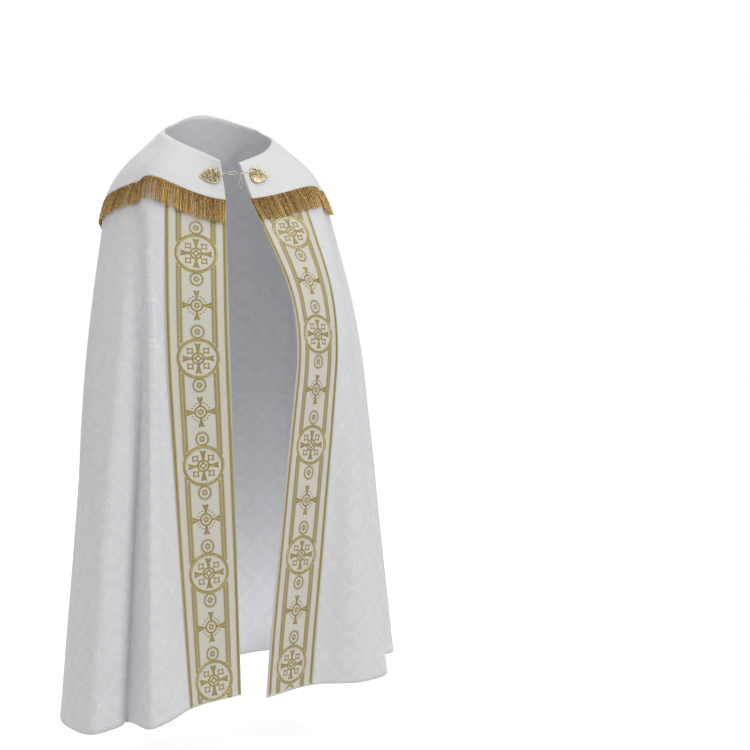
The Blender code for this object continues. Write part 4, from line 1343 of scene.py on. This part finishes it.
values = {
    "phase": ("FLOAT", np.repeat(chance.uniform(0, 2 * math.pi, CORD_COUNT), CORD_POINTS)),
    "shade": ("FLOAT", np.repeat(chance.uniform(0, 1, CORD_COUNT), CORD_POINTS)),
    "fall": ("FLOAT", np.tile(parts, CORD_COUNT)),
}
fringe_paint = paint_fringe()
winding = {"Radius": CORD_RADIUS, "Twist": CORD_TWIST, "Steps": CORD_STEPS}
cords = modified("fringe_cords", mesh, values, *make_cords(), winding, fringe_paint)

heading_shares = along_edge(HOOD_COLUMNS)
heading_down = hood_reach(heading_shares)[:, None] + np.array(HEADING_ROWS)
middle, out = hang(heading_shares, heading_down)
stand = HOOD_INSIDE + HEADING_STAND_OFF
along = np.arange(HOOD_COLUMNS)[:, None] * HEADING_STEP
cut = np.stack((heading_down, np.tile(along, (1, len(HEADING_ROWS)))), -1)
outer, inner = middle + out * (stand + HEADING_WALL), middle + out * stand
heading = wall("fringe_heading", outer, inner, cut[:-1], cut[1:], fringe_paint)
for piece in (hood, emblem, cords, heading):
    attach(piece, "cope")
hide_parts("hood")
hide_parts("fringe")

# ---------------------------------------------------------------------------------------------
# Clasp plates
# Two leaves of pale gold metal, pointed outwards and round towards the chain. Each is a domed back
# with a beaded border, and scrolls and flowers raised on it. The right one has an eye on a post.
# ---------------------------------------------------------------------------------------------
PLATE_HALF_LENGTH = 0.0240
PLATE_HALF_WIDTH = 0.0190
PLATE_WIDEST = 0.77  # the largest value of sin(a) * cos(a / 2) in a leaf's outline
PLATE_TIP = 0.02324  # from its middle to its point
PLATE_SCALLOPS = 18
PLATE_SCALLOP_DEPTH = 0.0006
PLATE_EDGE = 0.0012  # height of its edge
PLATE_DOME = 0.0016  # and how much higher its middle is
PLATE_BEADS = 44
PLATE_POINTS = 144
EYE_HOLE = 0.0023  # radius
EYE_RIM = 0.0039  # radius
EYE_THICK = 0.0014
EYE_AT = PLATE_HALF_LENGTH + EYE_HOLE
CHAIN_HEIGHT = 0.0080  # the chain's middle over a plate's back
# A darker copy of the pale metal, for each plate's back: its colour is painted shade for the recesses
# between the raised work.
PALE_METAL = (0.97, 0.90, 0.66), (0.74, 0.64, 0.38), 0.20
RECESS_SHADE_METAL = (0.46, 0.38, 0.21), (0.17, 0.13, 0.06), 0.34
RIM_BEAD = (0.0030, 0.0027, 0.0014, 0.5)
RIM_AT = 0.965  # of the plate's own outline
BORDER_AT = 0.885
BORDER_STROKE = 0.0009, 0.0011  # half its width, and its height
# Rings of a plate's skin: on its flat back or over its domed front, and their size
PLATE_RINGS = ((1, 0.12), (1, 0.55), (1, 1.0), (0, 1.0), (0, 0.85), (0, 0.6), (0, 0.35), (0, 0.12))
POST_RINGS = (
    # height, radius
    (PLATE_EDGE, 0.0020),
    (0.0026, 0.0013),
    (0.0058, 0.0011),
    (CHAIN_HEIGHT, 0.0009),
)
SCROLLS = (
    # centre, start and sweep in degrees, outer and inner reach, half width, height
    ((0.0125, 0.0078), -75, 520, 0.0046, 0.0010, 0.0011, 0.0013),
    ((0.0022, 0.0112), 70, -470, 0.0042, 0.0010, 0.0011, 0.0013),
    ((-0.0072, 0.0074), -40, 430, 0.0036, 0.0009, 0.0010, 0.0012),
    ((-0.0142, 0.0034), 60, -330, 0.0026, 0.0008, 0.0009, 0.0010),
)
LEAFLETS = (
    # along, across, turn
    (0.0165, 0.0105, 40),
    (0.0055, 0.0148, 80),
    (-0.0055, 0.0130, 115),
    (-0.0130, 0.0085, 140),
)
LEAFLET = 0.0022, 0.0010  # half its length, and both half its width and its height
# Flowers of petals: count, start, end, width and height
PLATE_FLOWER_AT = (0.0020, 0.0)
PLATE_FLOWER = (
    # turn, petals
    (15, (10, 0.0046, 0.0078, 0.0019, 0.0010)),
    (0, (6, 0.0010, 0.0040, 0.0024, 0.0012)),
)
PLATE_FLOWER_EYE = 0.0008, 0.0016  # radius and height
TREFOIL = 3, 0.0010, 0.0052, 0.0020, 0.0010
TREFOILS_AT = ((-0.0105, 60), (0.0172, 0))  # along, turn


def paint_metal(name, light, dark, roughness):
    """Polished metal with small dents, painted darker in their hollows as shade."""
    paint, tree, shader, place = new_paint(name, roughness, metallic=1.0)
    dents_and_shade = noise(tree, place["Object"], 260.0)
    # The same noise that dents the surface paints shade: the colour is darker where the dents dip.
    tree.links.new(blend_colour(tree, dents_and_shade, dark, light), shader["Base Color"])
    gloss = calc(tree, "MULTIPLY_ADD", dents_and_shade, 0.16, roughness - 0.08)
    tree.links.new(gloss, shader["Roughness"])
    raise_surface(tree, shader, dents_and_shade, 0.0002, 0.4)
    return paint


def seat_of(node):
    """A plate's placement, read from the flat back of its solid: X to the chain and Z out."""
    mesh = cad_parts[node].data
    normals = np.array([face.normal for face in mesh.polygons])
    areas = np.array([face.area for face in mesh.polygons])
    back = normals[((normals @ normals.T > 0.9995) @ areas).argmax()]
    flat = [face for face, normal in zip(mesh.polygons, normals) if normal @ back > 0.9995]
    points = np.array([mesh.vertices[k].co for face in flat for k in face.vertices])
    weights = np.array([face.area for face in flat])
    centre = (np.array([face.center for face in flat]) * weights[:, None]).sum(axis=0) / weights.sum()
    tip = points[np.linalg.norm(points - centre, axis=1).argmax()]
    x = (centre - tip) / np.linalg.norm(centre - tip)
    z = -back
    y = np.cross(z, x)
    return tip + x * PLATE_TIP, x, y, z


def leaf_outline(grow, count):
    """The leaf's edge, scaled: round towards +X, pointed at -X, and scalloped."""
    a = 2 * math.pi * np.arange(count) / count
    half = np.minimum(a, 2 * math.pi - a)
    scallop = 2 * np.abs(np.sin(PLATE_SCALLOPS * a / 2)) - 1
    size = grow * (1 + PLATE_SCALLOP_DEPTH / PLATE_HALF_WIDTH * scallop)
    x = PLATE_HALF_LENGTH * np.cos(a)
    y = PLATE_HALF_WIDTH / PLATE_WIDEST * np.sin(a) * np.cos(half / 2)
    return np.stack((x, y), -1) * size[:, None]


def plate_height(x, y):
    """The height of a plate's front over its back."""
    away = (x / PLATE_HALF_LENGTH) ** 2 + (y / PLATE_HALF_WIDTH) ** 2
    return PLATE_EDGE + PLATE_DOME * np.clip(1 - away, 0, 1) ** 0.8


def plate_net(origin, x, y, z):
    """A net over a plate's front, for raised work."""
    across, down_plate = np.linspace(-0.030, 0.030, 41), np.linspace(-0.024, 0.024, 33)
    far, wide = np.meshgrid(across, down_plate, indexing="ij")
    height = plate_height(far, wide)
    grid = origin + far[..., None] * x + wide[..., None] * y + height[..., None] * z
    return {"grid": grid, "out": outward(grid), "across": far, "down": down_plate}


def closed_mesh(name, rings, paint, joined=False):
    """A closed skin over a stack of rings of points. Joined, the last ring meets the first."""
    rings = np.array(rings)
    count, around = rings.shape[:2]
    order = np.arange(count * around).reshape(count, around)
    upper = np.roll(order, -1, axis=0) if joined else order[1:]
    lower = order if joined else order[:-1]
    turned_lower, turned_upper = np.roll(lower, -1, axis=1), np.roll(upper, -1, axis=1)
    faces = np.stack((lower, turned_lower, turned_upper, upper), -1).reshape(-1, 4).tolist()
    if not joined:
        faces += [order[0, ::-1].tolist(), order[-1].tolist()]
    mesh = bpy.data.meshes.new(name)
    mesh.from_pydata(rings.reshape(-1, 3).tolist(), [], faces)
    mesh.uv_layers.new(name="UVMap")
    return new_piece(name, mesh, paint)


def scroll(centre, start, sweep, outer, inner, width, height):
    """A curl that winds in round a centre, thinner towards its end."""
    t = np.linspace(0, 1, 26)
    turn = np.radians(start + sweep * t)
    reach = outer + (inner - outer) * t**0.8
    path = np.array(centre) + np.stack((np.cos(turn), np.sin(turn)), -1) * reach[:, None]
    return line_of(path, width * (1 - 0.45 * t), height)


def mirrored(pads):
    """Pads and their mirror images over the X axis."""
    return pads + [((flat * (1, -1))[:, ::-1], rise[:, ::-1], place[:, ::-1]) for flat, rise, place in pads]


def leaf_work():
    """The raised work of a plate: border, scrolls, leaflets and flowers."""
    pads = [line_of(leaf_outline(BORDER_AT, PLATE_POINTS), *BORDER_STROKE, closed=True)]
    pads += mirrored([scroll(*values) for values in SCROLLS])
    (outer_turn, outer), (inner_turn, inner) = PLATE_FLOWER
    pads += [turned(pad, outer_turn, shift=PLATE_FLOWER_AT) for pad in petals(*outer)]
    for x, turn in TREFOILS_AT:
        pads += [turned(pad, turn, shift=(x, 0.0)) for pad in petals(*TREFOIL)]
    half_length, half_width = LEAFLET
    path = np.stack((np.linspace(-half_length, half_length, 6), np.zeros(6)), -1)
    leaflet = line_of(path, half_width * np.sin(np.linspace(0.4, 2.9, 6)), half_width)
    for x, y, turn in LEAFLETS:
        pads += mirrored([turned(leaflet, turn, shift=(x, y))])
    size, height = PLATE_FLOWER_EYE
    eye = line_of(circle(size, 8), size, height, closed=True)
    return pads + [turned(pad, inner_turn, shift=PLATE_FLOWER_AT) for pad in petals(*inner) + [eye]]


def hoop(middle, first, second, sides=12):
    """A ring of points round a middle, from its half widths in two directions."""
    turn = 2 * math.pi * np.arange(sides)[:, None] / sides
    return middle + first * np.cos(turn) + second * np.sin(turn)


metal = paint_metal("pale_gold_metal", *PALE_METAL)
recess_shade_metal = paint_metal("hollow_gold_metal", *RECESS_SHADE_METAL)
rim_bead = unit_of("rim_bead", leaf(*RIM_BEAD))
for side in ("right", "left"):
    origin, x, y, z = seat_of("clasp_plate_" + side)
    net = plate_net(origin, x, y, z)
    rings = []
    for on_back, grow in PLATE_RINGS:
        spots = leaf_outline(grow, PLATE_POINTS)
        height = 0 * spots[:, 0] if on_back else plate_height(spots[:, 0], spots[:, 1])
        rings.append(origin + spots[:, :1] * x + spots[:, 1:] * y + height[:, None] * z)
    # The plate's back takes the darker metal, as painted shade between the raised scrolls, flowers and
    # beads.
    plate = closed_mesh("clasp_leaf_" + side, rings, recess_shade_metal)
    raised = work("clasp_scrolls_" + side, leaf_work(), net, metal)
    edge = leaf_outline(RIM_AT, 4 * PLATE_BEADS)[::4]
    beads = stud("clasp_beads_" + side, rim_bead, net, edge[:, 0], edge[:, 1], 0, 1.0, metal)
    pieces = [plate, raised, beads]
    if side == "right":
        eye, half = origin + EYE_AT * x + CHAIN_HEIGHT * z, (EYE_RIM - EYE_HOLE) / 2
        ways = [x * c + y * s for c, s in circle(1.0, 28)]
        rings = [hoop(eye + way * (EYE_RIM + EYE_HOLE) / 2, way * half, z * EYE_THICK / 2) for way in ways]
        pieces.append(closed_mesh("clasp_eye", rings, metal, joined=True))
        foot = origin + (EYE_AT - EYE_RIM) * x
        rings = [hoop(foot + height * z, x * thick, y * thick) for height, thick in POST_RINGS]
        pieces.append(closed_mesh("clasp_post", rings, metal))
    for piece in pieces:
        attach(piece, "cope")
    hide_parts("clasp_plate_" + side)

# ---------------------------------------------------------------------------------------------
# Chain and hook
# Long round-cornered links of gold wire. Three run from the right plate's eye to a wire hook on the
# left plate, and two more hang free behind it, on which a looser setting can be hooked.
# ---------------------------------------------------------------------------------------------
WIRE = 0.0007  # radius
LINK_HALF_LENGTH = 0.0088
LINK_HALF_WIDTH = 0.0033
LINK_CORNER = 0.0026
LINK_SIDES = 10
WIRE_METAL = (0.62, 0.52, 0.30), (0.40, 0.32, 0.16), 0.20


def link_path():
    """A round-cornered rectangle."""
    points = []
    for quarter, (sx, sy) in enumerate(((1, 1), (-1, 1), (-1, -1), (1, -1))):
        for a in np.radians(90 * quarter + np.linspace(0, 90, 9)):
            x = sx * (LINK_HALF_LENGTH - LINK_CORNER) + LINK_CORNER * math.cos(a)
            points.append((x, sy * (LINK_HALF_WIDTH - LINK_CORNER) + LINK_CORNER * math.sin(a)))
    return np.array(points)


def link_of(node, body):
    """A smooth link in a CAD link's place."""
    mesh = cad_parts[node].data
    points = np.array([vertex.co for vertex in mesh.vertices])
    centre = (points.min(axis=0) + points.max(axis=0)) / 2
    for _ in range(2):
        x, y, z = np.linalg.svd(points - centre)[2]
        local = (points - centre) @ np.array((x, y, z)).T
        centre = centre + (local.min(axis=0) + local.max(axis=0)) / 2 @ np.array((x, y, z))
    z = np.cross(x, y)
    path = link_path()
    way = np.roll(path, -1, axis=0) - np.roll(path, 1, axis=0)
    way /= np.linalg.norm(way, axis=1)[:, None]
    rings = [
        hoop(centre + px * x + py * y, WIRE * (ty * x - tx * y), WIRE * z, LINK_SIDES)
        for (px, py), (tx, ty) in zip(path, way)
    ]
    piece = closed_mesh(node + "_wire", rings, metal, joined=True)
    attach(piece, body)
    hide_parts(node)


for node in ("chain_link_1", "chain_link_2", "chain_link_3"):
    link_of(node, "cope")
link_of("tail_link_1", "tail_upper")
link_of("tail_link_2", "tail_lower")
hook_metal = paint_metal("dark_wire_metal", *WIRE_METAL)
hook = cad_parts["clasp_hook"]
hook.data.materials.clear()
hook.data.materials.append(hook_metal)

for unit in (*units.values(), rim_bead):
    bpy.data.objects.remove(unit)
